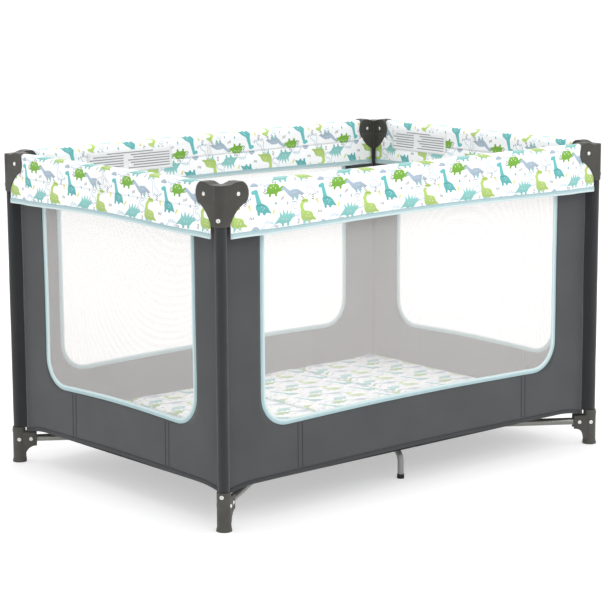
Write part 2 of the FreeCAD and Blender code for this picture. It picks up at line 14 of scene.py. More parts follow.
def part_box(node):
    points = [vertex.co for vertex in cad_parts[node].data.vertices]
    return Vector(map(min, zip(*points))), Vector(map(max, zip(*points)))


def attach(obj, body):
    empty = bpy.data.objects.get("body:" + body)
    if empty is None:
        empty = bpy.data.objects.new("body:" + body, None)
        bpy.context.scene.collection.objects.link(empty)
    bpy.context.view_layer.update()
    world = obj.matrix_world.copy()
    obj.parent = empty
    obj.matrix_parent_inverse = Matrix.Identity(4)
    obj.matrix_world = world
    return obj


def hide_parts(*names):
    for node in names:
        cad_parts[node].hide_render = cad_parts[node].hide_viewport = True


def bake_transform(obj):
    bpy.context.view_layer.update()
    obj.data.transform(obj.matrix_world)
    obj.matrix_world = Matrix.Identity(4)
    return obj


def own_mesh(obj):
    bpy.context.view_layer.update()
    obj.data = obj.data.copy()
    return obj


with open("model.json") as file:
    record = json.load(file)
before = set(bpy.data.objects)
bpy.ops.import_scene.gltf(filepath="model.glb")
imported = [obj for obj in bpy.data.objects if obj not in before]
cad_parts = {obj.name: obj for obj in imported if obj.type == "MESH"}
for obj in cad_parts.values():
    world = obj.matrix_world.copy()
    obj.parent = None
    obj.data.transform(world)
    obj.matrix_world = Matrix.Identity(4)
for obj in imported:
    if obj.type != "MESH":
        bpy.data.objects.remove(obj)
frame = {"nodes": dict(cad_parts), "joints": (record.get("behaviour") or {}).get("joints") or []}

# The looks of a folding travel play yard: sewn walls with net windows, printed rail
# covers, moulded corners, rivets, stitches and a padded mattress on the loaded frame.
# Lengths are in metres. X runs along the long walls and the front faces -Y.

LOG = logging.getLogger("play_yard")
UV_NAME = "cloth"
Pair = tuple[float, float]
Rows = list[list[Vector]]
UvRows = list[list[Pair]]
Socket = bpy.types.NodeSocket
Value = Union[Socket, float, Sequence[float], None]
CORNERS = {"front_left": (-1, -1), "front_right": (1, -1),
           "back_left": (-1, 1), "back_right": (1, 1)}


def ease(share: float) -> float:
    """Smooth step from 0 to 1 over a share that is held between them."""
    held = min(1.0, max(0.0, share))
    return held * held * (3 - 2 * held)


# ---------------------------------------------------------------------------
# Places read from the frame
# ---------------------------------------------------------------------------
def centre_of(node: str) -> Vector:
    """Returns the middle of a CAD node's box."""
    low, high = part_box(node)
    return (low + high) / 2


def joint_named(name: str) -> dict:
    """Returns the record's joint of that name."""
    return next(j for j in frame["joints"] if j["name"] == name)


class Places:
    """Where the frame puts what the cloth and trim have to meet.

    Attributes:
        floor_gap: between the floor panel's edge and the middle of a wall's cloth.
    """

    floor_gap: float = 0.0014

    def __init__(self) -> None:
        """Reads the boxes and joints once."""
        corner = centre_of("post_tube_back_right")
        self.post_x: float = corner.x
        self.post_y: float = corner.y
        self.rail_z: float = centre_of("long_rail_back_right").z
        self.top_z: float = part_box("top_bracket_back_right")[1].z
        self.bracket_low_z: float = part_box("top_bracket_back_right")[0].z
        self.foot_top_z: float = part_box("foot_back_right")[1].z
        floor_low, floor_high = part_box("floor_panel")
        self.floor_low_z: float = floor_low.z
        self.floor_top_z: float = floor_high.z
        self.floor_x: float = floor_high.x
        self.floor_y: float = floor_high.y
        self.wall_inset: float = self.post_x - floor_high.x - self.floor_gap
        fold = Vector(joint_named("fold")["pos_m"])
        hub = Vector(joint_named("hub_level")["pos_m"])
        reach = (fold - hub).length
        limit = math.radians(joint_named("fold")["range_deg"][1])
        radius = math.hypot(self.post_x, self.post_y)
        self.fold_keep: float = (radius - reach * (1 - math.cos(limit))) / radius

    def post_foot(self, corner: str) -> Vector:
        """Returns the place on the floor under a corner's post axis."""
        sign_x, sign_y = CORNERS[corner]
        return Vector((sign_x * self.post_x, sign_y * self.post_y, 0))


PLACES = Places()
# From a latch's end to the rail's pin in it.
LATCH_PIN_INSET = 0.012


@dataclass(frozen=True)
class Side:
    """One side of the yard, seen from outside, with its run going to the right.

    Attributes:
        name: front, right, back or left.
        run: unit vector to the right, seen from outside.
        out: unit vector out of the yard.
        half: half the distance between the side's post axes.
        depth: distance from the yard's centre to the post axes' plane.
        start_post: corner at the run's start.
        end_post: corner at the run's end.
        rail: long_rail or short_rail.
        outer_latch_end: -1 or 1, the end whose half rail carries the outer latch shell; not used.
    """

    name: str
    run: Vector
    out: Vector
    half: float
    depth: float
    start_post: str
    end_post: str
    rail: str
    outer_latch_end: int

    def at(self, s: float, off: float, z: float) -> Vector:
        """Point at s along the run from the middle, off outwards of the post plane."""
        return self.run * s + self.out * (self.depth + off) + Vector((0, 0, z))

    def start(self) -> Vector:
        """Foot of the post at the run's start."""
        return self.at(-self.half, 0, 0)

    def post_at(self, end: int) -> str:
        """Returns the corner at that end of the run, -1 or 1."""
        return self.start_post if end < 0 else self.end_post

    def latch_half(self) -> float:
        """Distance from the side's middle to the rail's pin in the latch.

        Returns:
            The distance.
        """
        low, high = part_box("latch_outer_shell_" + self.name)
        size = high - low
        return max(size.x, size.y) / 2 - LATCH_PIN_INSET


X, Y = Vector((1, 0, 0)), Vector((0, 1, 0))
SIDES = (
    Side("front", X, -Y, PLACES.post_x, PLACES.post_y, "front_left", "front_right",
         "long_rail", -1),
    Side("right", Y, X, PLACES.post_y, PLACES.post_x, "front_right", "back_right",
         "short_rail", -1),
    Side("back", -X, Y, PLACES.post_x, PLACES.post_y, "back_right", "back_left",
         "long_rail", -1),
    Side("left", -Y, -X, PLACES.post_y, PLACES.post_x, "back_left", "front_left",
         "short_rail", 1),
)


# ---------------------------------------------------------------------------
# Shader graphs
# ---------------------------------------------------------------------------
class Graph:
    """Adds and joins nodes of one shader tree with little writing."""

    def __init__(self, tree: bpy.types.NodeTree) -> None:
        """Args: tree: the tree that the nodes go into."""
        self.tree = tree

    def node(self, kind: str, inputs: dict | None = None, **settings) -> bpy.types.Node:
        """Adds a node.

        Args:
            kind: the node's type name.
            inputs: input name or number to a socket or a plain value.
            settings: attributes set on the node first.

        Returns:
            The node.
        """
        made = self.tree.nodes.new(kind)
        for key, value in settings.items():
            setattr(made, key, value)
        for key, value in (inputs or {}).items():
            self.feed(made.inputs[key], value)
        return made

    def feed(self, socket: Socket, value: Value) -> None:
        """Links a socket to a socket, or sets its plain value.

        Args:
            socket: the input.
            value: a socket, a plain value, or None to leave it.
        """
        if isinstance(value, Socket):
            self.tree.links.new(value, socket)
        elif value is not None:
            socket.default_value = value

    def math(self, operation: str, a: Value, b: Value = None, c: Value = None,
             clamp: bool = False) -> Socket:
        """Returns the output of a Math node.

        Args:
            operation: the node's operation.
            a: first input.
            b: second input.
            c: third input.
            clamp: True to keep the result in 0..1.

        Returns:
            The node's output.
        """
        made = self.node("ShaderNodeMath", {0: a, 1: b, 2: c}, operation=operation)
        made.use_clamp = clamp
        return made.outputs[0]

    def vector(self, operation: str, a: Value, b: Value = None, c: Value = None,
               scale: Value = None) -> Socket:
        """Returns the vector, or the value, of a Vector Math node.

        Args:
            operation: the node's operation.
            a: first input.
            b: second input.
            c: third input.
            scale: factor of a SCALE operation.

        Returns:
            The node's output.
        """
        made = self.node("ShaderNodeVectorMath", {0: a, 1: b, 2: c}, operation=operation)
        if scale is not None:
            self.feed(made.inputs["Scale"], scale)
        scalar = operation in ("DOT_PRODUCT", "LENGTH", "DISTANCE")
        return made.outputs["Value" if scalar else "Vector"]

    def mix(self, factor: Value, a: Value, b: Value, blend: str = "MIX") -> Socket:
        """Returns the colour of a Mix node.

        Args:
            factor: share of the second colour.
            a: first colour.
            b: second colour.
            blend: how the second colour goes over the first.

        Returns:
            The colour.
        """
        made = self.node("ShaderNodeMix", data_type="RGBA", blend_type=blend)
        self.feed(made.inputs["Factor"], factor)
        self.feed(made.inputs["A"], a)
        self.feed(made.inputs["B"], b)
        return made.outputs["Result"]

    def ramp(self, value: Value, low: float, high: float, to_low: float = 0.0,
             to_high: float = 1.0, smooth: bool = False) -> Socket:
        """Returns value mapped from low..high to to_low..to_high, clamped.

        Args:
            value: the input.
            low: its lower end.
            high: its upper end.
            to_low: result at the lower end.
            to_high: result at the upper end.
            smooth: True to ease in and out.

        Returns:
            The mapped value.
        """
        made = self.node("ShaderNodeMapRange", {0: value, 1: low, 2: high, 3: to_low,
                                                4: to_high})
        if smooth:
            made.interpolation_type = "SMOOTHSTEP"
        return made.outputs[0]

    def noise(self, vector: Value, scale: float, detail: float = 2.0,
              rough: float = 0.5) -> Socket:
        """Returns the value of a Noise texture.

        Args:
            vector: place in the noise.
            scale: its frequency.
            detail: its octaves.
            rough: weight of the finer octaves.

        Returns:
            The noise's value.
        """
        made = self.node("ShaderNodeTexNoise",
                         {"Vector": vector, "Scale": scale, "Detail": detail,
                          "Roughness": rough})
        return made.outputs["Fac"]

    def bump(self, height: Value, strength: float, distance: float) -> Socket:
        """Returns the normal of a Bump node.

        Args:
            height: the relief.
            strength: how much of it counts.
            distance: its depth.

        Returns:
            The normal.
        """
        made = self.node("ShaderNodeBump", {"Height": height, "Strength": strength,
                                            "Distance": distance})
        return made.outputs["Normal"]

    def object_space(self) -> Socket:
        """Returns Object coordinates."""
        return self.node("ShaderNodeTexCoord").outputs["Object"]

    def cloth_space(self) -> Socket:
        """Returns the cloth UV map, in metres."""
        return self.node("ShaderNodeUVMap", uv_map=UV_NAME).outputs["UV"]

    def split(self, vector: Value) -> Sequence[Socket]:
        """Returns the X, Y and Z outputs of a Separate XYZ node."""
        return self.node("ShaderNodeSeparateXYZ", {0: vector}).outputs


def linear(level: float) -> float:
    """Linear level of a display level given from 0 to 255."""
    share = level / 255
    return share / 12.92 if share <= 0.04045 else ((share + 0.055) / 1.055) ** 2.4


def colour(red: float, green: float, blue: float) -> tuple[float, ...]:
    """Linear colour of a display colour given from 0 to 255."""
    return (linear(red), linear(green), linear(blue), 1.0)


def toned(tone: Sequence[float], share: float) -> tuple[float, ...]:
    """Returns a colour made darker or lighter by a share."""
    return tuple(min(1, c * share) for c in tone[:3]) + (1.0,)


class Finish:
    """A material that is built once and then shared; title is its name."""

    made: dict[str, bpy.types.Material] = {}
    title: str

    def paint(self, g: Graph, shader: bpy.types.Node) -> None:
        """Joins the finish's nodes to the Principled shader."""
        raise NotImplementedError

    def material(self) -> bpy.types.Material:
        """Returns the material, built at its first use.

        Returns:
            The material.
        """
        if self.title not in Finish.made:
            material = bpy.data.materials.new(self.title)
            material.use_nodes = True
            shader = material.node_tree.nodes["Principled BSDF"]
            self.paint(Graph(material.node_tree), shader)
            Finish.made[self.title] = material
        return Finish.made[self.title]


@dataclass(frozen=True)
class Moulding(Finish):
    """Satin moulded plastic with fine grain and slight tone changes.

    Attributes:
        title: the material's name.
        tone: base colour.
        rough: roughness.
        grain: height of the grain in metres.
    """

    title: str
    tone: tuple
    rough: float = 0.45
    grain: float = 0.00006

    def paint(self, g: Graph, shader: bpy.types.Node) -> None:
        """Joins grain, tone and rub marks to the shader.

        Args:
            g: the material's graph.
            shader: its surface shader.
        """
        place = g.object_space()
        drift = g.noise(place, 22, 3)
        scuff = g.noise(place, 160, 4, 0.7)
        g.feed(shader.inputs["Base Color"], g.mix(g.ramp(drift, 0.35, 0.65),
                                                  toned(self.tone, 0.86), toned(self.tone, 1.16)))
        rough = g.ramp(scuff, 0.3, 0.75, self.rough - 0.05, self.rough + 0.09)
        g.feed(shader.inputs["Roughness"], rough)
        shader.inputs["Specular IOR Level"].default_value = 0.3
        grains = g.noise(place, 1500, 2)
        g.feed(shader.inputs["Normal"], g.bump(grains, 0.35, self.grain))


@dataclass(frozen=True)
class Metal(Finish):
    """Painted or bare metal tube and wire.

    Attributes:
        title: the material's name.
        tone: base colour.
        metallic: 1 for bare metal, less for paint.
        rough: roughness.
        coat: clear coat over paint.
    """

    title: str
    tone: tuple
    metallic: float
    rough: float
    coat: float = 0.0

    def paint(self, g: Graph, shader: bpy.types.Node) -> None:
        """Joins orange peel, fine scratches and tone drift to the shader.

        Args:
            g: the material's graph.
            shader: its surface shader.
        """
        place = g.object_space()
        peel = g.noise(place, 420, 2)
        stretched = g.vector("MULTIPLY", place, (900, 900, 60))
        scratch = g.noise(stretched, 1.0, 3, 0.6)
        drift = g.noise(place, 15, 2)
        g.feed(shader.inputs["Base Color"], g.mix(g.ramp(drift, 0.3, 0.7),
                                                  toned(self.tone, 0.88), toned(self.tone, 1.1)))
        shader.inputs["Metallic"].default_value = self.metallic
        rough = g.ramp(scratch, 0.25, 0.8, self.rough - 0.06, self.rough + 0.1)
        g.feed(shader.inputs["Roughness"], rough)
        shader.inputs["Coat Weight"].default_value = self.coat
        shader.inputs["Coat Roughness"].default_value = 0.25
        g.feed(shader.inputs["Normal"], g.bump(peel, 0.2, 0.00004))


def weave_height(g: Graph, uv: Socket, pitch: float) -> Socket:
    """Works out the height of a plain weave.

    Args:
        g: the graph that gets the nodes.
        uv: coordinates in metres.
        pitch: distance between threads in metres.

    Returns:
        A value from 0 to 1.
    """
    axes = g.split(uv)
    turns = 2 * math.pi / pitch
    warp = g.math("SINE", g.math("MULTIPLY", axes[0], turns))
    weft = g.math("SINE", g.math("MULTIPLY", axes[1], turns))
    crossing = g.math("MULTIPLY", warp, weft)
    return g.math("MULTIPLY_ADD", crossing, 0.5, 0.5)


@dataclass(frozen=True)
class Woven(Finish):
    """Plain woven polyester with a soft sheen.

    Attributes:
        title: the material's name.
        tone: base colour.
        pitch: thread pitch in metres.
        sheen: sheen weight.
        mottle: how much the tone drifts.
    """

    title: str
    tone: tuple
    pitch: float = 0.0011
    sheen: float = 0.25
    mottle: float = 0.10

    def paint(self, g: Graph, shader: bpy.types.Node) -> None:
        """Joins weave, slub and soft creases to the shader.

        Args:
            g: the material's graph.
            shader: its surface shader.
        """
        uv = g.cloth_space()
        weave = weave_height(g, uv, self.pitch)
        slub = g.noise(g.vector("MULTIPLY", uv, (90, 900, 1)), 1.0, 2)
        cloud = g.noise(uv, 9, 3)
        shade = g.math("MULTIPLY_ADD", weave, 0.22, g.math("MULTIPLY", slub, 0.3))
        shade = g.math("ADD", shade, g.math("MULTIPLY", cloud, 0.55))
        change = self.mottle * 2.2
        dark, light = toned(self.tone, 1 - change), toned(self.tone, 1 + change)
        g.feed(shader.inputs["Base Color"], g.mix(g.ramp(shade, 0.25, 0.8), dark, light))
        g.feed(shader.inputs["Roughness"], g.ramp(slub, 0.2, 0.8, 0.72, 0.9))
        shader.inputs["Sheen Weight"].default_value = self.sheen
        shader.inputs["Sheen Roughness"].default_value = 0.5
        shader.inputs["Specular IOR Level"].default_value = 0.2
        creases = g.noise(uv, 26, 2)
        height = g.math("ADD", g.math("MULTIPLY", weave, 0.00016),
                        g.math("MULTIPLY", creases, 0.0012))
        g.feed(shader.inputs["Normal"], g.bump(height, 0.7, 1.0))


@dataclass(frozen=True)
class Binding(Finish):
    """Folded aqua binding tape, with a painted highlight that makes it paler along its rounded
    outer fold.

    Attributes:
        title: the material's name.
        width: the tape's width in metres, its second UV direction.
        rib: distance between ribs in metres.
    """

    title: str = "aqua_binding"
    width: float = 0.0105
    rib: float = 0.0013

    def paint(self, g: Graph, shader: bpy.types.Node) -> None:
        """Joins rib weave, the aqua tone and the painted highlight along the rounded fold to the
        shader.

        Args:
            g: the material's graph.
            shader: its surface shader.
        """
        uv = g.cloth_space()
        axes = g.split(uv)
        ribs = g.math("SINE", g.math("MULTIPLY", axes[0], 2 * math.pi / self.rib))
        across = g.math("DIVIDE", axes[1], self.width)
        # Painted highlight: the tape turns paler over its rounded outer fold, where light would
        # catch the curve.
        lip_highlight = g.ramp(across, 0.28, 0.44, smooth=True)
        tone = g.mix(lip_highlight, colour(206, 222, 223), colour(166, 194, 199))
        cloud = g.noise(uv, 60, 3)
        tone = g.mix(g.ramp(cloud, 0.3, 0.7, 0.0, 0.35), tone, colour(190, 212, 214))
        g.feed(shader.inputs["Base Color"], tone)
        shader.inputs["Roughness"].default_value = 0.72
        shader.inputs["Sheen Weight"].default_value = 0.2
        g.feed(shader.inputs["Normal"], g.bump(ribs, 0.4, 0.00012))


@dataclass(frozen=True)
class Net(Finish):
    """White knitted window net with rows of round holes.

    Attributes:
        title: the material's name.
        pitch: distance between holes in metres.
        hole: hole radius in metres.
    """

    title: str = "window_net"
    pitch: float = 0.0015
    hole: float = 0.00060

    def paint(self, g: Graph, shader: bpy.types.Node) -> None:
        """Joins the holes, cut in staggered rows, to the shader's alpha.

        Args:
            g: the material's graph.
            shader: its surface shader.
        """
        uv = g.cloth_space()
        step = Vector((self.pitch, self.pitch * math.sqrt(3), 1))
        distances = []
        for shift in ((0.0, 0.0, 0.0), tuple(step * 0.5)):
            moved = g.vector("ADD", uv, shift)
            cell = g.vector("WRAP", moved, tuple(step * 0.5), tuple(step * -0.5))
            flat = g.vector("MULTIPLY", cell, (1, 1, 0))
            distances.append(g.vector("LENGTH", flat))
        nearest = g.math("MINIMUM", *distances)
        solid = g.ramp(nearest, self.hole * 0.86, self.hole * 1.14)
        thread = g.noise(uv, 1400, 2)
        tone = g.mix(thread, colour(232, 227, 225), colour(250, 247, 246))
        g.feed(shader.inputs["Base Color"], tone)
        g.feed(shader.inputs["Alpha"], solid)
        shader.inputs["Roughness"].default_value = 0.8
        shader.inputs["Sheen Weight"].default_value = 0.3
        g.feed(shader.inputs["Normal"], g.bump(nearest, 0.5, 0.4))


# ---------------------------------------------------------------------------
# The print: rounded plant eaters drawn as soft strokes
# ---------------------------------------------------------------------------
@dataclass(frozen=True)
class Stroke:
    """One tapered stroke of a motif, in millimetres from the motif's centre.

    Attributes:
        a: where it starts.
        b: where it ends.
        ra: its radius at the start.
        rb: its radius at the end.
    """

    a: Pair
    b: Pair
    ra: float
    rb: float


@dataclass(frozen=True)
class Motif:
    """A figure of the print.

    Attributes:
        at: its place in the repeat, in millimetres.
        fill: its colour.
        strokes: its body.
        soften: how far strokes melt into each other.
        marks: small pale spots, as (x, y, radius).
        outline: True for a figure drawn as a thin line only.
        tilt: turn in degrees.
    """

    at: Pair
    fill: tuple
    strokes: tuple[Stroke, ...]
    soften: float = 3.0
    marks: tuple[tuple[float, float, float], ...] = ()
    outline: bool = False
    tilt: float = 0.0


def scaled(strokes: Sequence[Stroke], share: float) -> tuple[Stroke, ...]:
    """Returns the same strokes at a share of their size."""
    return tuple(Stroke((share * one.a[0], share * one.a[1]), (share * one.b[0], share * one.b[1]),
                        share * one.ra, share * one.rb) for one in strokes)


LONG_NECK = (
    Stroke((-4, -11), (7, -12), 10.0, 9.0), Stroke((-8, -8), (-10, 8), 5.2, 3.6),
    Stroke((-10, 8), (-3, 17), 3.6, 3.4), Stroke((-2, 17), (5, 15.5), 4.4, 3.4),
    Stroke((12, -15), (22, -19.5), 4.6, 1.2), Stroke((-6, -18), (-6, -22), 3.0, 3.0),
    Stroke((6, -18), (6, -22), 3.0, 3.0),
)
TALL_NECK = (
    Stroke((-15, 19), (-9, 20), 3.6, 4.2), Stroke((-8, 18), (-3, -1), 3.4, 4.8),
    Stroke((-1, -9), (9, -13), 8.6, 7.6), Stroke((13, -14), (22, -21), 5.0, 0.9),
    Stroke((-4, -15), (-4, -21), 2.8, 2.8), Stroke((7, -17), (7, -21), 2.8, 2.8),
)
SHELL_BACK = (
    Stroke((-7, 0), (6, 0), 8.6, 8.2), Stroke((15, -2), (21, 0), 3.4, 4.2),
    Stroke((-19, -7), (-12, -4), 0.8, 3.0), Stroke((-8, -7), (-9, -11), 2.6, 2.6),
    Stroke((5, -7), (6, -11), 2.6, 2.6),
)
PLATE_BACK = (
    Stroke((-7, -5), (8, -4), 7.6, 7.4), Stroke((14, -2), (20, 1), 4.2, 3.8),
    Stroke((-12, -6), (-23, -11), 4.8, 0.8), Stroke((-8, 2), (-11, 10), 3.2, 0.4),
    Stroke((-1, 4), (-2, 13), 3.4, 0.4), Stroke((6, 3), (8, 12), 3.2, 0.4),
    Stroke((12, 2), (16, 9), 2.6, 0.4), Stroke((-5, -11), (-5, -15), 2.6, 2.6),
    Stroke((7, -10), (7, -15), 2.6, 2.6),
)
GRAZER = (
    Stroke((2, -5), (12, -6), 7.6, 6.6), Stroke((-4, -3), (-14, 10), 4.6, 2.8),
    Stroke((-15, 11), (-20, 10), 3.2, 2.3), Stroke((18, -8), (29, -14), 4.2, 0.7),
    Stroke((1, -11), (1, -15), 2.4, 2.4), Stroke((12, -11), (12, -15), 2.4, 2.4),
)
LEAF = (Stroke((0, -4), (0, 3), 1.2, 2.6),)
DROP = (Stroke((0, 3), (0, -1.5), 0.3, 1.9),)
DASHES = (Stroke((-4.0, -1.6), (-3.0, 2.4), 0.8, 0.7), Stroke((-0.6, -1.6), (0.4, 2.0), 0.8, 0.7),
          Stroke((2.8, -1.6), (3.6, 2.4), 0.8, 0.7))
HILL = (Stroke((-6, -2), (6, -2), 2.6, 2.6), Stroke((-1, 0), (2, 0), 4.0, 3.6))
LIME, GREEN = colour(182, 211, 116), colour(122, 178, 58)
TEAL, SEA, HAZE = colour(104, 190, 190), colour(138, 200, 196), colour(172, 190, 206)
PALE, INK, SUN = colour(188, 208, 222), colour(104, 108, 114), colour(222, 222, 140)
MOTIFS = (
    Motif((0, 31), LIME, LONG_NECK, marks=((4, -7, 1.1), (0, -12, 1.0), (8, -13, 1.1))),
    Motif((52, 53), TEAL, TALL_NECK, marks=((3, -8, 0.9), (8, -11, 0.9), (5, -14, 0.8))),
    Motif((82, 75), GREEN, SHELL_BACK, 2.0, ((-6, 3, 1.2), (0, 5, 1.2), (5, 2, 1.1))),
    Motif((105, 23), SEA, PLATE_BACK, 1.6, ((-3, -4, 0.9), (4, -5, 0.9))),
    Motif((124, 68), HAZE, GRAZER, 2.6, ((5, -4, 0.8), (10, -5, 0.8)), tilt=13),
    Motif((12, 73), PALE, scaled(TALL_NECK, 0.7), 2.0, outline=True),
    Motif((66, 11), PALE, scaled(PLATE_BACK, 0.6), 1.0, outline=True),
    Motif((131, 36), PALE, scaled(LONG_NECK, 0.6), 1.6, outline=True),
    Motif((33, 25), INK, DASHES, 0.0, tilt=-8), Motif((62, 73), INK, DASHES, 0.0, tilt=62),
    Motif((103, 57), INK, DASHES, 0.0, tilt=20), Motif((137, 12), INK, DASHES, 0.0, tilt=80),
    Motif((30, 44), SUN, LEAF, 0.0, tilt=20), Motif((80, 33), SUN, LEAF, 0.0, tilt=-30),
    Motif((137, 54), SEA, LEAF, 0.0, tilt=35), Motif((87, 50), TEAL, DROP, 0.0, tilt=15),
    Motif((115, 47), HAZE, DROP, 0.0), Motif((32, 62), HAZE, DROP, 0.0, tilt=-20),
    Motif((40, 6), HAZE, HILL, 1.5), Motif((150, 8), SEA, LEAF, 0.0, tilt=-15),
    Motif((20, 53), INK, DASHES, 0.0, tilt=74), Motif((85, 7), INK, DASHES, 0.0, tilt=-10),
    Motif((150, 56), INK, DASHES, 0.0, tilt=-65),
)


@dataclass(frozen=True)
class Printed(Finish):
    """White woven cloth with the repeat print.

    Attributes:
        title: the material's name.
        repeat: width and height of the repeat in millimetres.
        ground: colour of the unprinted cloth.
        spot: colour of the figures' small marks.
        line: half the thickness of an outline figure's line in millimetres.
        edge: half the softness of a figure's edge in millimetres.
    """

    title: str = "printed_cloth"
    repeat: Pair = (157.0, 79.5)
    ground: tuple = colour(250, 251, 252)
    spot: tuple = colour(240, 246, 232)
    line: float = 0.75
    edge: float = 0.35

    @staticmethod
    def stroke_group() -> bpy.types.NodeTree:
        """Returns the node group that gives the distance to a tapered stroke.

        Returns:
            The node group.
        """
        found = bpy.data.node_groups.get("stroke_distance")
        if found:
            return found
        tree = bpy.data.node_groups.new("stroke_distance", "ShaderNodeTree")
        for name, kind in (("P", "NodeSocketVector"), ("A", "NodeSocketVector"),
                           ("Along", "NodeSocketVector"), ("Gauge", "NodeSocketVector"),
                           ("Ra", "NodeSocketFloat"), ("Taper", "NodeSocketFloat")):
            tree.interface.new_socket(name, in_out="INPUT", socket_type=kind)
        tree.interface.new_socket("Distance", in_out="OUTPUT", socket_type="NodeSocketFloat")
        g = Graph(tree)
        given = g.node("NodeGroupInput").outputs
        from_a = g.vector("SUBTRACT", given["P"], given["A"])
        share = g.math("ADD", g.vector("DOT_PRODUCT", from_a, given["Gauge"]), 0.0, clamp=True)
        rest = g.vector("DISTANCE", from_a, g.vector("SCALE", given["Along"], scale=share))
        radius = g.math("MULTIPLY_ADD", share, given["Taper"], given["Ra"])
        distance = g.math("SUBTRACT", rest, radius)
        g.node("NodeGroupOutput", {0: distance})
        return tree

    def figure(self, g: Graph, place: Socket,
               motif: Motif) -> tuple[Socket, Union[Socket, None], Socket]:
        """Adds one motif.

        Args:
            g: the graph.
            place: coordinates in millimetres, Z zero.
            motif: the figure.

        Returns:
            Its coverage, its spots' coverage, and its own coordinates.
        """
        half = (self.repeat[0] / 2, self.repeat[1] / 2, 1.0)
        shifted = g.vector("SUBTRACT", place, (motif.at[0], motif.at[1], 0))
        local = g.vector("WRAP", shifted, half, tuple(-h for h in half))
        if motif.tilt:
            turned = g.node("ShaderNodeVectorRotate",
                            {"Vector": local, "Angle": math.radians(-motif.tilt)},
                            rotation_type="Z_AXIS")
            local = turned.outputs[0]
        total = None
        for stroke in motif.strokes:
            made = g.node("ShaderNodeGroup", node_tree=self.stroke_group())
            along = Vector(stroke.b) - Vector(stroke.a)
            gauge = along / along.length_squared
            values = {"P": local, "A": (*stroke.a, 0), "Along": (*along, 0),
                      "Gauge": (*gauge, 0), "Ra": stroke.ra, "Taper": stroke.rb - stroke.ra}
            for key, value in values.items():
                g.feed(made.inputs[key], value)
            distance = made.outputs[0]
            if total is None:
                total = distance
            elif motif.soften:
                total = g.math("SMOOTH_MIN", total, distance, motif.soften)
            else:
                total = g.math("MINIMUM", total, distance)
        if motif.outline:
            total = g.math("SUBTRACT", g.math("ABSOLUTE", total), self.line)
        cover = g.ramp(total, self.edge, -self.edge)
        spots = None
        for x, y, radius in motif.marks:
            distance = g.vector("DISTANCE", local, (x, y, 0))
            spot = g.ramp(distance, radius + 0.25, radius - 0.25)
            spots = spot if spots is None else g.math("MAXIMUM", spots, spot)
        return cover, spots, local

    def paint(self, g: Graph, shader: bpy.types.Node) -> None:
        """Joins the print, the weave and soft creases to the shader.

        Args:
            g: the material's graph.
            shader: its surface shader.
        """
        uv = g.cloth_space()
        fray = g.node("ShaderNodeTexNoise", {"Vector": uv, "Scale": 700.0, "Detail": 1.0})
        wobble = g.vector("MULTIPLY_ADD", fray.outputs["Color"], (0.5, 0.5, 0), (-0.25, -0.25, 0))
        place = g.vector("MULTIPLY_ADD", uv, (1000, 1000, 0), wobble)
        tone = self.ground
        for motif in MOTIFS:
            if tone is not self.ground:
                # Each figure waits for the one before it, which keeps the shader small.
                place = g.vector("MULTIPLY_ADD", tone, (0, 0, 0), place)
            cover, spots, local = self.figure(g, place, motif)
            height = g.split(local)[1]
            fill = g.mix(g.ramp(height, -18, 4), toned(motif.fill, 0.80), motif.fill)
            if spots is not None:
                fill = g.mix(g.math("MULTIPLY", spots, 0.75), fill, self.spot)
            tone = g.mix(cover, tone, fill)
        weave = weave_height(g, uv, 0.0009)
        cloud = g.noise(uv, 14, 3)
        shade = g.math("MULTIPLY_ADD", weave, 0.04, g.ramp(cloud, 0.3, 0.7, 0.935, 0.965))
        grey = g.node("ShaderNodeCombineColor", {0: shade, 1: shade, 2: shade}).outputs[0]
        g.feed(shader.inputs["Base Color"], g.mix(1.0, tone, grey, "MULTIPLY"))
        g.feed(shader.inputs["Roughness"], g.ramp(cloud, 0.2, 0.8, 0.6, 0.76))
        shader.inputs["Sheen Weight"].default_value = 0.15
        shader.inputs["Specular IOR Level"].default_value = 0.3
        creases = g.noise(uv, 34, 2)
        height = g.math("ADD", g.math("MULTIPLY", weave, 0.00010),
                        g.math("MULTIPLY", creases, 0.0013))
        g.feed(shader.inputs["Normal"], g.bump(height, 0.6, 1.0))


BRACKET = Moulding("corner_plastic", colour(64, 63, 59), 0.44)
FOOT = Moulding("foot_plastic", colour(70, 69, 65), 0.46)
HUB = Moulding("hub_plastic", colour(52, 52, 51), 0.5)
BUTTON = Moulding("button_plastic", colour(216, 220, 222), 0.38)
RUBBER = Moulding("cap_rubber", colour(30, 30, 30), 0.72, 0.00012)
RIVET = Metal("rivet_steel", colour(226, 226, 222), 0.9, 0.24)
SPRING = Metal("spring_wire", colour(182, 182, 180), 1.0, 0.25)
HIDDEN_TUBE = Metal("frame_tube_paint", colour(72, 73, 73), 0.35, 0.38, 0.2)
DIAGONAL_TUBE = Metal("diagonal_tube_paint", colour(138, 138, 133), 0.7, 0.3, 0.2)
LEG_TUBE = Metal("leg_tube_paint", colour(142, 143, 143), 0.55, 0.3, 0.25)
WALL = Woven("wall_weave", colour(71, 73, 75))
HEM = Woven("hem_tape", colour(58, 59, 61), 0.0014, 0.2)
SLEEVE = Woven("post_sleeve_weave", colour(49, 50, 52))
FLOOR = Woven("floor_weave", colour(52, 53, 55), 0.0016, 0.15)
STRAP = Woven("strap_webbing", colour(60, 60, 62), 0.0022, 0.2)
LABEL = Woven("label_satin", colour(238, 239, 240), 0.0006, 0.1, 0.02)
THREAD = Woven("aqua_thread", colour(150, 182, 188), 0.0005, 0.2, 0.02)
DARK_THREAD = Woven("grey_thread", colour(44, 45, 46), 0.0005, 0.2, 0.02)
GREY_PRINT = Woven("label_grey", colour(150, 152, 155), 0.0006, 0.1, 0.02)
BINDING = Binding()
NET = Net()
PRINT = Printed()


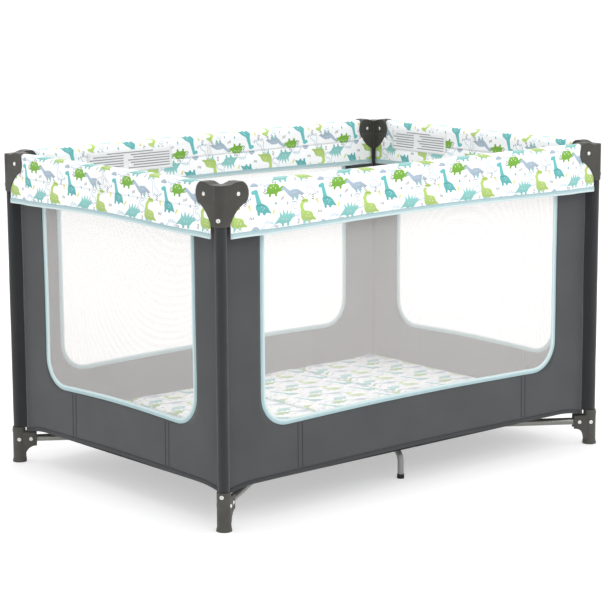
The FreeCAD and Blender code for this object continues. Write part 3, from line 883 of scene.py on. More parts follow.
# ---------------------------------------------------------------------------
# Mesh tools
# ---------------------------------------------------------------------------
def new_object(name: str, mesh: bpy.types.Mesh) -> bpy.types.Object:
    """Links a new object for a mesh into the scene and returns it.

    Args:
        name: its name.
        mesh: its mesh.

    Returns:
        The object.
    """
    made = bpy.data.objects.new(name, mesh)
    bpy.context.scene.collection.objects.link(made)
    return made


def dress(obj: bpy.types.Object, finish: Finish, smooth: bool = True) -> bpy.types.Object:
    """Gives an object one finish.

    Args:
        obj: a mesh object.
        finish: what it is made of.
        smooth: True to shade its faces smoothly.

    Returns:
        The object.
    """
    obj.data.materials.clear()
    obj.data.materials.append(finish.material())
    if smooth:
        obj.data.polygons.foreach_set("use_smooth", [True] * len(obj.data.polygons))
    return obj


def apply_modifiers(obj: bpy.types.Object) -> bpy.types.Object:
    """Turns an object's modifiers into its mesh and returns it.

    Args:
        obj: a mesh object.

    Returns:
        The object.
    """
    graph = bpy.context.evaluated_depsgraph_get()
    mesh = bpy.data.meshes.new_from_object(obj.evaluated_get(graph))
    old = obj.data
    obj.modifiers.clear()
    obj.data = mesh
    bpy.data.meshes.remove(old)
    return obj


def grid_mesh(name: str, rows: Rows, uvs: UvRows, wrap: bool = False) -> bpy.types.Object:
    """Mesh of a grid of points.

    Args:
        name: the object's name.
        rows: points, row by row.
        uvs: UV of each point in metres.
        wrap: True to join the last point of each row to its first.

    Returns:
        The object.
    """
    mesh = bpy.data.meshes.new(name)
    wide = len(rows[0])
    points = [p for row in rows for p in row]
    flat_uv = [t for row in uvs for t in row]
    faces = []
    for r in range(len(rows) - 1):
        for c in range(wide if wrap else wide - 1):
            d = (c + 1) % wide
            faces.append((r * wide + c, r * wide + d, (r + 1) * wide + d, (r + 1) * wide + c))
    mesh.from_pydata([tuple(p) for p in points], [], faces)
    layer = mesh.uv_layers.new(name=UV_NAME)
    for loop in mesh.loops:
        layer.data[loop.index].uv = flat_uv[loop.vertex_index]
    return new_object(name, mesh)


def thicken(obj: bpy.types.Object, thickness: float, offset: float = 0.0) -> bpy.types.Object:
    """Gives a sheet its thickness.

    Args:
        obj: an open sheet.
        thickness: in metres.
        offset: -1 inwards, 0 both ways, 1 outwards.

    Returns:
        The object, with its modifiers applied.
    """
    solid = obj.modifiers.new("thickness", "SOLIDIFY")
    solid.thickness = thickness
    solid.offset = offset
    solid.use_even_offset = True
    return apply_modifiers(obj)


def skin_over(obj: bpy.types.Object, voxel: float, passes: int) -> None:
    """Adds modifiers that give an object one even, rounded skin.

    Args:
        obj: a closed shell, or shells that cut into each other.
        voxel: grain of the new skin.
        passes: smoothing passes.
    """
    remesh = obj.modifiers.new("skin", "REMESH")
    remesh.mode = "VOXEL"
    remesh.voxel_size = voxel
    smooth = obj.modifiers.new("round", "SMOOTH")
    smooth.factor = 0.5
    smooth.iterations = passes


def subdivide(obj: bpy.types.Object) -> bpy.types.Object:
    """Rounds an object by one level of subdivision and returns it.

    Args:
        obj: a mesh object.

    Returns:
        The object.
    """
    smooth = obj.modifiers.new("smooth", "SUBSURF")
    smooth.levels = smooth.render_levels = 1
    return apply_modifiers(obj)


def face_out(obj: bpy.types.Object) -> bpy.types.Object:
    """Merges doubles, turns a closed shell's faces outwards and returns it.

    Args:
        obj: a mesh object.

    Returns:
        The object.
    """
    work = bmesh.new()
    work.from_mesh(obj.data)
    bmesh.ops.remove_doubles(work, verts=work.verts, dist=1e-6)
    bmesh.ops.recalc_face_normals(work, faces=work.faces)
    work.to_mesh(obj.data)
    work.free()
    return obj


# A quarter of a tape's rounded section: share of its width and of half its thickness.
TAPE_EDGE = ((0.0, 0.3), (0.06, 0.8), (0.25, 1))
TAPE_SECTION = (tuple((a, -b) for a, b in TAPE_EDGE)
                + tuple((1 - a, -b) for a, b in reversed(TAPE_EDGE))
                + tuple((1 - a, b) for a, b in TAPE_EDGE)
                + tuple((a, b) for a, b in reversed(TAPE_EDGE)))


def upward(_: int) -> Vector:
    """Returns the upward direction, for a tape that stands on its edge."""
    return Vector((0, 0, 1))


def tape(name: str, path: Sequence[Vector], across: Callable[[int], Vector],
         normal: Callable[[int], Vector], width: float, thick: float,
         closed: bool = False) -> bpy.types.Object:
    """A folded tape that follows a path.

    Args:
        name: the object's name.
        path: points along one edge of the tape.
        across: from a point's number, the unit vector to the tape's other edge.
        normal: from a point's number, the unit vector out of the tape.
        width: the tape's width.
        thick: its thickness.
        closed: True where the path ends where it starts.

    Returns:
        The object.
    """
    half = thick / 2
    rows, uvs = [], []
    length = 0.0
    for i, point in enumerate(path):
        if i:
            length += (point - path[i - 1]).length
        side, up = across(i), normal(i)
        rows.append([point + side * (a * width) + up * (b * half) for a, b in TAPE_SECTION])
        uvs.append([(length, a * width) for a, _ in TAPE_SECTION])
    if closed:
        rows.append(rows[0])
        uvs.append([(length + (path[0] - path[-1]).length, t[1]) for t in uvs[0]])
    obj = grid_mesh(name, rows, uvs, wrap=True)
    if not closed:
        cap_ends(obj, len(TAPE_SECTION))
    return face_out(obj)


def cap_ends(obj: bpy.types.Object, count: int) -> None:
    """Closes both ends of a swept tape whose section has count points.

    Args:
        obj: a mesh object.
        count: points in one section.
    """
    work = bmesh.new()
    work.from_mesh(obj.data)
    work.verts.ensure_lookup_table()
    total = len(work.verts)
    work.faces.new([work.verts[i] for i in range(count)])
    work.faces.new([work.verts[total - 1 - i] for i in range(count)])
    work.to_mesh(obj.data)
    work.free()


def polyline(name: str, runs: Iterable[Sequence[Vector]]) -> bpy.types.Object:
    """A mesh of edges only, one chain for each run of points.

    Args:
        name: its name.
        runs: points of each chain.

    Returns:
        The object.
    """
    points: list[tuple] = []
    edges: list[tuple[int, int]] = []
    for run in runs:
        start = len(points)
        points.extend(tuple(p) for p in run)
        edges.extend((start + i, start + i + 1) for i in range(len(run) - 1))
    mesh = bpy.data.meshes.new(name)
    mesh.from_pydata(points, edges, [])
    return new_object(name, mesh)


def sway(point: Vector, size: float, seed: float) -> float:
    """Soft repeatable unevenness from -1 to 1 at a point."""
    return noise.noise(Vector((point.x, point.y, point.z)) * (1 / size)
                       + Vector((seed, 2.3 * seed, 0)))


# ---------------------------------------------------------------------------
# Geometry node trees for what repeats
# ---------------------------------------------------------------------------
class Repeats:
    """Geometry node trees: stitches along lines and rivet heads on points."""

    @staticmethod
    def run(base: bpy.types.Object, tree: bpy.types.NodeTree, values: dict) -> bpy.types.Object:
        """Runs a tree on an object and keeps the result as its mesh.

        Args:
            base: the object whose mesh feeds the tree.
            tree: the tree.
            values: named inputs of the tree.

        Returns:
            The object.
        """
        modifier = base.modifiers.new(tree.name, "NODES")
        modifier.node_group = tree
        for item in tree.interface.items_tree:
            if item.item_type == "SOCKET" and item.in_out == "INPUT" and item.name in values:
                modifier[item.identifier] = values[item.name]
        base.update_tag()
        bpy.context.view_layer.update()
        return apply_modifiers(base)

    @staticmethod
    def inputs(tree: bpy.types.NodeTree, names: Iterable[tuple[str, str]]) -> None:
        """Adds a geometry input and output, and the named inputs.

        Args:
            tree: the node tree.
            names: name and socket type of each input.
        """
        tree.interface.new_socket("Geometry", in_out="INPUT", socket_type="NodeSocketGeometry")
        for name, kind in names:
            tree.interface.new_socket(name, in_out="INPUT", socket_type=kind)
        tree.interface.new_socket("Geometry", in_out="OUTPUT", socket_type="NodeSocketGeometry")

    @classmethod
    def stitch_tree(cls) -> bpy.types.NodeTree:
        """Returns the tree that sets one rounded stitch after another along edges.

        Returns:
            The tree.
        """
        found = bpy.data.node_groups.get("stitches")
        if found:
            return found
        tree = bpy.data.node_groups.new("stitches", "GeometryNodeTree")
        cls.inputs(tree, (("Pitch", "NodeSocketFloat"), ("Stitch", "NodeSocketVector"),
                          ("Thread", "NodeSocketMaterial")))
        g = Graph(tree)
        given = g.node("NodeGroupInput").outputs
        curve = g.node("GeometryNodeMeshToCurve", {0: given["Geometry"]}).outputs[0]
        spaced = g.node("GeometryNodeResampleCurve",
                        {"Curve": curve, "Length": given["Pitch"]}, mode="LENGTH")
        ball = g.node("GeometryNodeMeshUVSphere", {"Segments": 6, "Rings": 4, "Radius": 1.0})
        tangent = g.node("GeometryNodeInputTangent").outputs[0]
        turn = g.node("FunctionNodeAlignEulerToVector", {"Vector": tangent}, axis="X")
        placed = g.node("GeometryNodeInstanceOnPoints",
                        {"Points": spaced.outputs[0], "Instance": ball.outputs["Mesh"],
                         "Rotation": turn.outputs[0], "Scale": given["Stitch"]})
        real = g.node("GeometryNodeRealizeInstances", {0: placed.outputs[0]})
        smooth = g.node("GeometryNodeSetShadeSmooth", {0: real.outputs[0]})
        dressed = g.node("GeometryNodeSetMaterial",
                         {"Geometry": smooth.outputs[0], "Material": given["Thread"]})
        g.node("NodeGroupOutput", {0: dressed.outputs[0]})
        return tree

    @classmethod
    def rivet_tree(cls) -> bpy.types.NodeTree:
        """Returns the tree that sets a rivet head on each point, turned to its axis.

        Returns:
            The tree.
        """
        found = bpy.data.node_groups.get("rivet_heads")
        if found:
            return found
        tree = bpy.data.node_groups.new("rivet_heads", "GeometryNodeTree")
        cls.inputs(tree, (("Head", "NodeSocketObject"), ("Finish", "NodeSocketMaterial")))
        g = Graph(tree)
        given = g.node("NodeGroupInput").outputs
        points = g.node("GeometryNodeMeshToPoints", {0: given["Geometry"]}).outputs[0]
        head = g.node("GeometryNodeObjectInfo", {"Object": given["Head"]})
        axis = g.node("GeometryNodeInputNamedAttribute", {"Name": "axis"},
                      data_type="FLOAT_VECTOR").outputs["Attribute"]
        turn = g.node("FunctionNodeAlignEulerToVector", {"Vector": axis}, axis="Z")
        placed = g.node("GeometryNodeInstanceOnPoints",
                        {"Points": points, "Instance": head.outputs["Geometry"],
                         "Rotation": turn.outputs[0]})
        real = g.node("GeometryNodeRealizeInstances", {0: placed.outputs[0]})
        dressed = g.node("GeometryNodeSetMaterial",
                         {"Geometry": real.outputs[0], "Material": given["Finish"]})
        g.node("NodeGroupOutput", {0: dressed.outputs[0]})
        return tree

    @classmethod
    def stitches(cls, name: str, runs: Iterable[Sequence[Vector]], finish: Finish,
                 pitch: float = 0.0048, length: float = 0.0034,
                 thread: float = 0.0009) -> bpy.types.Object:
        """Sews lines of stitches.

        Args:
            name: the object's name.
            runs: lines of points.
            finish: the thread's finish.
            pitch: from stitch to stitch.
            length: a stitch's length.
            thread: a stitch's thickness.

        Returns:
            The object, a plain mesh.
        """
        base = polyline(name, runs)
        size = (length / 2, thread / 2, thread / 2)
        made = cls.run(base, cls.stitch_tree(),
                       {"Pitch": pitch, "Stitch": size, "Thread": finish.material()})
        if UV_NAME not in made.data.uv_layers:
            made.data.uv_layers.new(name=UV_NAME)
        return dress(made, finish)

    @classmethod
    def heads(cls, name: str, places: Sequence[tuple[Vector, Vector]], head: bpy.types.Object,
              finish: Finish) -> bpy.types.Object:
        """Sets rivet heads.

        Args:
            name: the object's name.
            places: each head's seat and the direction it faces.
            head: the head's mesh, facing +Z from the origin.
            finish: the rivets' finish.

        Returns:
            The object, a plain mesh.
        """
        mesh = bpy.data.meshes.new(name)
        mesh.from_pydata([tuple(p) for p, _ in places], [], [])
        layer = mesh.attributes.new("axis", "FLOAT_VECTOR", "POINT")
        for i, (_, axis) in enumerate(places):
            layer.data[i].vector = axis
        made = cls.run(new_object(name, mesh), cls.rivet_tree(),
                       {"Head": head, "Finish": finish.material()})
        return dress(made, finish)


def lathe(name: str, profile: Sequence[tuple[float, float]], steps: int = 24) -> bpy.types.Object:
    """Turns a profile of (radius, height) about Z; a zero radius closes it in one point.

    Args:
        name: its name.
        profile: radius and height of each ring.
        steps: points in one ring.

    Returns:
        The object.
    """
    mesh = bpy.data.meshes.new(name)
    points: list[tuple] = []
    rings: list[list[int]] = []
    for radius, height in profile:
        if radius == 0:
            rings.append([len(points)] * steps)
            points.append((0, 0, height))
            continue
        rings.append(list(range(len(points), len(points) + steps)))
        for i in range(steps):
            turn = 2 * math.pi * i / steps
            points.append((radius * math.cos(turn), radius * math.sin(turn), height))
    faces = []
    for low, high in zip(rings, rings[1:]):
        for i in range(steps):
            j = (i + 1) % steps
            corners = list(dict.fromkeys((low[i], low[j], high[j], high[i])))
            if len(corners) > 2:
                faces.append(corners)
    mesh.from_pydata(points, [], faces)
    return face_out(new_object(name, mesh))


# ---------------------------------------------------------------------------
# Sub-assemblies
# ---------------------------------------------------------------------------
class Assembly:
    """A sub-assembly that counts and reports what it makes."""

    title = "assembly"

    def report(self, obj: bpy.types.Object) -> bpy.types.Object:
        """Logs one finished piece and returns it."""
        LOG.info("%s: %s, %d faces", self.title, obj.name, len(obj.data.polygons))
        return obj

    def with_side(self, obj: bpy.types.Object, side: Side) -> bpy.types.Object:
        """Hangs a piece of one side on the post at the side's start, with a mesh of its own.

        Args:
            obj: the finished piece.
            side: its side.

        Returns:
            The piece.
        """
        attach(obj, "post_" + side.start_post)
        tuple(side.run)
        tuple(side.start())
        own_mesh(obj)
        return self.report(obj)


@dataclass
class Walls(Assembly):
    """The four sewn walls: cloth, net window, binding, hem and seams.

    Attributes:
        window_margin: from the post axis to the window's edge on a long side.
        short_margin: the same on a short side.
        window_low: height of the window's lower edge at its ends.
        window_rise: how much higher it is in the middle.
        window_top: height where the window ends under the rail cover.
        corner: radius of the window's lower corners.
        cloth: thickness of the cloth.
        seam_inset: from the window's corner to the double seam.
        seam_gap: distance between the two lines of a double seam.
        draw_in: how far the cloth is drawn in between the posts.
        unevenness: height of its soft waves.
        low: height where its lower band starts to be drawn in.
        tall: height over which it is.
        hem_height: height of the wall's lower edge between the posts.
        hem_dip: how much lower that edge is at a post.
        binding_width: width of the tape round the window.
        tape_thick: thickness of that tape and of the hem tape.
        stitch_lift: how far stitches lie from the cloth's middle.
        edge_steps: steps up each side of the window.
        corner_steps: steps round each of its lower corners.
        low_steps: steps along its lower edge.
    """

    window_margin: float = 0.100
    short_margin: float = 0.093
    window_low: float = 0.1735
    window_rise: float = 0.007
    window_top: float = 0.598
    corner: float = 0.064
    cloth: float = 0.0016
    seam_inset: float = 0.095
    seam_gap: float = 0.011
    draw_in: float = 0.0035
    unevenness: float = 0.0012
    low: float = 0.07
    tall: float = 0.5
    hem_height: float = 0.0765
    hem_dip: float = 0.011
    binding_width: float = 0.0105
    tape_thick: float = 0.0036
    stitch_lift: float = 0.0019
    title: str = "walls"

    edge_steps = 26
    corner_steps = 12
    low_steps = 60

    def plane(self, side: Side, s: float, z: float) -> float:
        """How far the cloth lies from the post plane at a place on a side.

        Args:
            side: the side.
            s: place along the side, from its middle.
            z: height.

        Returns:
            The offset, negative towards the inside.
        """
        middle = math.cos(0.5 * math.pi * s / side.half)
        height = math.sin(math.pi * min(1.0, max(0.0, (z - self.low) / self.tall)))
        soft = self.unevenness * sway(side.at(s, 0, z), 0.16, 3.1)
        return -PLACES.wall_inset - self.draw_in * middle * height + soft * height

    def point(self, side: Side, s: float, z: float) -> Vector:
        """Point of the cloth's middle on a side."""
        return side.at(s, self.plane(side, s, z), z)

    def hem_z(self, side: Side, s: float) -> float:
        """Height of the wall's lower edge, which dips to the foot near the posts.

        Args:
            side: the side.
            s: place along the side, from its middle.

        Returns:
            The height.
        """
        near = side.half - abs(s)
        lift = self.hem_height + 0.002 * math.cos(math.pi * s / side.half)
        dip = max(0.0, 1 - max(0.0, near - 0.012) / 0.075)
        return lift - self.hem_dip * dip * dip

    def margin(self, side: Side) -> float:
        """Distance from the post axis to the window on a side."""
        return self.window_margin if side.rail == "long_rail" else self.short_margin

    def window_loop(self, side: Side, grow: float = 0.0) -> list[Pair]:
        """Works out the outline of a window as (s, z) points.

        Args:
            side: the side.
            grow: how far outside the window's edge.

        Returns:
            Points from the upper left, down and round to the upper right.
        """
        wide = side.half - self.margin(side) + grow
        radius = self.corner + grow
        low = self.window_low - grow
        straight = self.window_top - low - radius
        points = [(-wide, self.window_top - i * straight / self.edge_steps)
                  for i in range(self.edge_steps)]
        for i in range(self.corner_steps + 1):
            turn = math.pi + 0.5 * math.pi * i / self.corner_steps
            points.append((-wide + radius + radius * math.cos(turn),
                           low + radius + radius * math.sin(turn)))
        left, flat = list(points), wide - radius
        points += [(-flat + 2 * flat * i / self.low_steps, low) for i in range(1, self.low_steps)]
        points += [(-s, z) for s, z in reversed(left)]
        return [(s, z + self.rise(s, wide, z)) for s, z in points]

    def rise(self, s: float, wide: float, z: float) -> float:
        """Lift of the window's lower edge towards the middle of the side."""
        share = max(0.0, 1 - (z - self.window_low) / self.corner)
        return self.window_rise * share * math.cos(0.5 * math.pi * s / wide)

    def outer_loop(self, side: Side, inner: Sequence[Pair]) -> list[Pair]:
        """Outline of the wall, with one point for each point of the window's outline.

        Args:
            side: the side.
            inner: the window's outline.

        Returns:
            Points as (s, z).
        """
        edge = side.half - PLACES.wall_inset - 0.001
        last = len(inner) - 1
        corner = self.edge_steps + self.corner_steps // 2
        points = []
        for i in range(last + 1):
            j = min(i, last - i)
            sign = -1 if i <= last / 2 else 1
            if j <= corner:
                low = self.hem_z(side, edge)
                points.append((sign * edge, self.window_top + (low - self.window_top) * j / corner))
            else:
                s = sign * edge * (last / 2 - j) / (last / 2 - corner)
                points.append((s, self.hem_z(side, s)))
        return points

    def cloth_frame(self, side: Side) -> bpy.types.Object:
        """Makes the cloth round the window.

        Args:
            side: the side.

        Returns:
            The finished object.
        """
        inner = self.window_loop(side, -0.004)
        outer = self.outer_loop(side, inner)
        steps = 9
        rings = []
        for k in range(steps + 1):
            share = k / steps
            rings.append([(a[0] + (b[0] - a[0]) * share, a[1] + (b[1] - a[1]) * share)
                          for a, b in zip(outer, inner)])
        rows = [[self.point(side, s, z) for s, z in ring] for ring in rings]
        obj = grid_mesh("wall_" + side.name, rows, rings)
        thicken(obj, self.cloth)
        return dress(face_out(obj), WALL)

    def net(self, side: Side) -> bpy.types.Object:
        """Makes the net window, a single layer of net.

        Args:
            side: the side.

        Returns:
            The finished object.
        """
        loop = self.window_loop(side, 0.003)
        steps = 48
        places = [[(left[0] + (right[0] - left[0]) * k / steps, left[1])
                   for k in range(steps + 1)]
                  for left, right in zip(loop[:len(loop) // 2 + 1], reversed(loop))]
        rows = [[self.point(side, s, z) for s, z in row] for row in places]
        return dress(grid_mesh("net_" + side.name, rows, places), NET)

    def binding(self, side: Side) -> bpy.types.Object:
        """Makes the tape round the window.

        Args:
            side: the side.

        Returns:
            The finished object.
        """
        outer = self.window_loop(side, 0.0)
        inner = self.window_loop(side, -self.binding_width)
        path = [self.point(side, s, z) for s, z in inner]
        far = [self.point(side, s, z) for s, z in outer]
        across = [(b - a).normalized() for a, b in zip(path, far)]
        obj = tape("window_binding_" + side.name, path, lambda i: across[i],
                   lambda i: side.out, self.binding_width, self.tape_thick)
        return dress(obj, BINDING)

    def hem(self, side: Side) -> bpy.types.Object:
        """Makes the dark tape along the lower edge.

        Args:
            side: the side.

        Returns:
            The finished object.
        """
        edge = side.half - PLACES.wall_inset - 0.002
        steps = 90
        spots = [-edge + 2 * edge * i / steps for i in range(steps + 1)]
        path = [self.point(side, s, self.hem_z(side, s)) - Vector((0, 0, 0.0012)) for s in spots]
        obj = tape("hem_" + side.name, path, upward,
                   lambda i: side.out, 0.0095, self.tape_thick)
        return dress(obj, HEM)

    def seam_lines(self, side: Side) -> list[float]:
        """Places of the double vertical seams along a side."""
        inner, gap = side.half - self.margin(side) - self.seam_inset, self.seam_gap / 2
        return [-inner - gap, -inner + gap, inner - gap, inner + gap]

    def seams(self, side: Side) -> bpy.types.Object:
        """Makes the raised folds of the vertical seams in the lower band.

        Args:
            side: the side.

        Returns:
            The finished object.
        """
        parts = []
        for s in self.seam_lines(side):
            low = self.hem_z(side, s) + 0.009
            high = self.window_low - 0.001
            for face in (1, -1):
                path = [self.point(side, s, low + (high - low) * i / 8)
                        + side.out * (0.0008 * face) for i in range(9)]
                parts.append(tape("fold", path, lambda i: side.run, lambda i: side.out,
                                  0.0016, 0.0014))
        return dress(join("seam_folds_" + side.name, parts), HEM)

    def stitches(self, side: Side) -> bpy.types.Object:
        """Sews the hem.

        Args:
            side: the side.

        Returns:
            The finished object.
        """
        edge = side.half - 0.02
        lift = side.out * self.stitch_lift
        spots = [-edge + 2 * edge * i / 60 for i in range(61)]
        hem = [self.point(side, s, self.hem_z(side, s) + 0.0066) + lift for s in spots]
        return Repeats.stitches("hem_stitches_" + side.name, [hem], DARK_THREAD)

    def binding_stitches(self, side: Side) -> bpy.types.Object:
        """Sews the window's tape on both faces of the wall.

        Args:
            side: the side.

        Returns:
            The finished object.
        """
        loop = self.window_loop(side, -0.0022)
        runs = [[self.point(side, s, z) + side.out * (self.stitch_lift * face)
                 for s, z in loop] for face in (1, -1)]
        return Repeats.stitches("window_stitches_" + side.name, runs, THREAD)

    def build(self) -> None:
        """Builds all four walls."""
        for side in SIDES:
            wall = self.with_side(self.cloth_frame(side), side)
            net = self.with_side(self.net(side), side)
            trim = [self.with_side(made, side) for made in (
                self.binding(side), self.hem(side), self.seams(side), self.stitches(side),
                self.binding_stitches(side))]
            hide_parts(*(f"wall_fabric_{c}" for c in (side.start_post, side.end_post)))
            hole_wide = 2 * (side.half - self.margin(side))


def join(name: str, parts: Sequence[bpy.types.Object]) -> bpy.types.Object:
    """Joins meshes into one object.

    Args:
        name: the new object's name.
        parts: the objects, which are removed.

    Returns:
        The new object.
    """
    work = bmesh.new()
    for part in parts:
        work.from_mesh(part.data)
    mesh = bpy.data.meshes.new(name)
    work.to_mesh(mesh)
    work.free()
    for part in parts:
        bpy.data.objects.remove(part)
    return new_object(name, mesh)


@dataclass
class RailCovers(Assembly):
    """Printed padded covers on the four top rails.

    Each cover is a sleeve round the rail, in two halves that meet at the latch, and an
    outer and an inner skirt that hang from it.

    Attributes:
        split_z: where the skirts start below the sleeve.
        low_end: height of the skirt's lower edge at the corners.
        low_middle: height of the same edge in the middle.
        near: half width of the cover beside the bracket.
        wide: half width of the cover in the middle.
        cloth: thickness of the cloth.
        sleeve_end: from the post axis to the sleeve's end.
        skirt_end: from the post axis to the outer skirt's end.
        inner_end: from the post axis to the inner skirt's end.
        inner_near: how far inwards the inner skirt lies at least.
        shoulder: how far over the rail's axis the sleeve turns upright.
        crest_share: share of half the section that makes the crest.
        quarter: cloth from the shoulder to the crest.
        skirt_cloth: cloth from the skirt's lower edge to the split.
        latch_reach: half a stretch of rail about the latch pin.
        mark_z: height of the press mark's middle.
    """

    split_z: float = 0.603
    low_end: float = 0.5475
    low_middle: float = 0.556
    near: float = 0.0108
    wide: float = 0.0172
    cloth: float = 0.0018
    sleeve_end: float = 0.051
    skirt_end: float = 0.0145
    inner_end: float = 0.0215
    inner_near: float = 0.0136
    shoulder: float = 0.004
    crest_share: float = 0.55
    quarter: float = 0.0275
    skirt_cloth: float = 0.0485
    latch_reach: float = 0.020
    mark_z: float = 0.6145
    title: str = "rail covers"

    def half_width(self, side: Side, s: float) -> float:
        """Half width of the sleeve at a place along the rail.

        Args:
            side: the side.
            s: place along the side, from its middle.

        Returns:
            The half width.
        """
        share = ease((side.half - abs(s) - 0.05) / 0.05)
        soft = 0.0007 * sway(side.at(s, 0, 0.6), 0.07, 7.7) * share
        return self.near + (self.wide - self.near) * share + soft

    def low_z(self, side: Side, s: float) -> float:
        """Height of the skirts' lower edge."""
        bend = math.cos(0.5 * math.pi * s / side.half)
        return self.low_end + (self.low_middle - self.low_end) * bend ** 1.3

    def section(self, side: Side, s: float, t: float) -> Pair:
        """Works out a place of the sleeve's section.

        Args:
            side: the side.
            s: place along the rail.
            t: -1 at the outer split, 0 at the crest, 1 at the inner split.

        Returns:
            Outward offset and height.
        """
        w = self.half_width(side, s)
        shoulder = PLACES.rail_z + self.shoulder
        crest = PLACES.top_z - 0.0012 + 0.0008 * sway(side.at(s, 0, 0.7), 0.09, 1.7)
        sign = -1 if t > 0 else 1
        reach = abs(t)
        if reach <= self.crest_share:
            turn = 0.5 * math.pi * (1 - reach / self.crest_share)
            power = 0.75
            return (sign * w * math.cos(turn) ** power,
                    shoulder + (crest - shoulder) * math.sin(turn) ** power)
        drop = (reach - self.crest_share) / (1 - self.crest_share)
        return (sign * (w + 0.0006 * drop), shoulder + (self.split_z - shoulder) * drop)

    def developed(self, t: float) -> float:
        """Distance over the cloth from the skirt's lower edge to section place t.

        Args:
            t: place round the section, from -1 to 1.

        Returns:
            The distance.
        """
        side_drop = PLACES.rail_z + self.shoulder - self.split_z
        over = min(abs(t), self.crest_share) / self.crest_share
        down = max(0.0, abs(t) - self.crest_share) / (1 - self.crest_share)
        half = self.quarter * over + side_drop * down
        crest = self.skirt_cloth + self.quarter + side_drop
        return crest - half if t < 0 else crest + half

    def sleeve(self, side: Side, end: int) -> bpy.types.Object:
        """Makes one half of the sleeve, from the bracket to the side's middle.

        Args:
            side: the side.
            end: -1 for the half where s is negative, else 1.

        Returns:
            The finished object.
        """
        stop = side.half - self.sleeve_end
        steps = 44 if side.rail == "long_rail" else 30
        spots = [end * stop * i / steps for i in range(steps + 1)]
        places = [-1 + 2 * k / 32 for k in range(33)]
        rows, uvs = [], []
        for s in spots:
            row = [self.section(side, s, t) for t in places]
            rows.append([side.at(s, off, z) for off, z in row])
            uvs.append([(s, self.developed(t)) for t in places])
        side_word = "start" if end < 0 else "finish"
        obj = grid_mesh(f"rail_sleeve_{side.name}_{side_word}", rows, uvs)
        thicken(obj, self.cloth, self.inward(obj))
        return dress(face_out(obj), PRINT)

    @staticmethod
    def inward(obj: bpy.types.Object) -> float:
        """Solidify offset that grows the sheet towards the rail."""
        crest = max(obj.data.polygons, key=lambda p: p.center.z)
        return -1.0 if crest.normal.z > 0 else 1.0

    def skirt_top(self, side: Side, s: float) -> float:
        """Height of a skirt's upper edge, which climbs under the bracket's wing."""
        near = side.half - abs(s)
        return self.split_z + 0.010 * ease((0.057 - near) / 0.008)

    def skirt_offset(self, side: Side, s: float, z: float, inner: bool) -> float:
        """Outward offset of a skirt at a place on a side.

        Args:
            side: the side.
            s: place along the side, from its middle.
            z: height.
            inner: True for the skirt inside the rail.

        Returns:
            The offset from the post plane.
        """
        top = self.half_width(side, s) - self.cloth / 2
        low = self.low_z(side, s)
        share = min(1.0, max(0.0, (self.split_z - z) / (self.split_z - low)))
        near = side.half - abs(s)
        swell = min(1.0, max(0.0, (near - 0.03) / 0.14))
        bulge = 0.0062 * math.sin(0.62 * math.pi * share) * swell
        ripple = 0.0012 * sway(side.at(s, 0, z), 0.055, 5.0 if inner else 9.0) * share * swell
        close = 0.0022 * (1 - swell) * share
        reach = top + bulge + ripple + close
        return -max(reach, self.inner_near) if inner else reach

    def skirt_spots(self, side: Side, inner: bool, share: float) -> list[float]:
        """Places along a skirt's row, share of the way down from its upper edge.

        Args:
            side: the side.
            inner: True for the skirt inside the rail.
            share: 0 at the upper edge, 1 at the lower one.

        Returns:
            Places along the side, from its middle.
        """
        stop = side.half - (self.inner_end if inner else self.skirt_end)
        climb = max(0.0, 1 - share / 0.45)
        stop -= climb * (0.022 if inner else 0.003)
        steps = 96 if side.rail == "long_rail" else 66
        return [-stop + 2 * stop * i / steps for i in range(steps + 1)]

    def skirt(self, side: Side, inner: bool) -> bpy.types.Object:
        """Makes the outer or the inner skirt of a side.

        Args:
            side: the side.
            inner: True for the skirt inside the rail.

        Returns:
            The finished object.
        """
        rows, uvs = [], []
        steps = 12
        total = 2 * self.developed(0)
        for k in range(steps + 1):
            share = k / steps
            row = []
            for s in self.skirt_spots(side, inner, share):
                top = self.skirt_top(side, s)
                row.append((s, top + (self.low_z(side, s) - top) * share))
            rows.append([side.at(s, self.skirt_offset(side, s, z, inner), z) for s, z in row])
            depths = [z - self.split_z + self.skirt_cloth for _, z in row]
            uvs.append([(s, total - d if inner else d) for (s, _), d in zip(row, depths)])
        word = "inner" if inner else "outer"
        obj = grid_mesh(f"cover_{word}_skirt_{side.name}", rows, uvs)
        thicken(obj, self.cloth, 0.0)
        return dress(face_out(obj), PRINT)

    def edge_path(self, side: Side, inner: bool, lift: float, proud: float) -> list[Vector]:
        """Line along a skirt's lower edge, lifted and set proud of the cloth.

        Args:
            side: the side.
            inner: True for the skirt inside the rail.
            lift: height over the edge.
            proud: distance off the cloth.

        Returns:
            Points of the line.
        """
        sign = -1 if inner else 1
        path = []
        for s in self.skirt_spots(side, inner, 1.0):
            z = self.low_z(side, s) + lift
            off = self.skirt_offset(side, s, z, inner) + sign * proud
            path.append(side.at(s, off, z))
        return path

    def binding(self, side: Side, inner: bool) -> bpy.types.Object:
        """Makes the tape along a skirt's lower edge.

        Args:
            side: the side.
            inner: True for the skirt inside the rail.

        Returns:
            The finished object.
        """
        word = "inner" if inner else "outer"
        path = self.edge_path(side, inner, -0.0012, 0.0)
        obj = tape(f"cover_{word}_binding_{side.name}", path, upward,
                   lambda i: side.out, 0.0105, 0.0042)
        return dress(obj, BINDING)

    def stitch_runs(self, side: Side) -> list[list[Vector]]:
        """Lines of stitches through both bindings of a side."""
        return [self.edge_path(side, False, 0.0078, 0.0022),
                self.edge_path(side, True, 0.0078, 0.0022)]

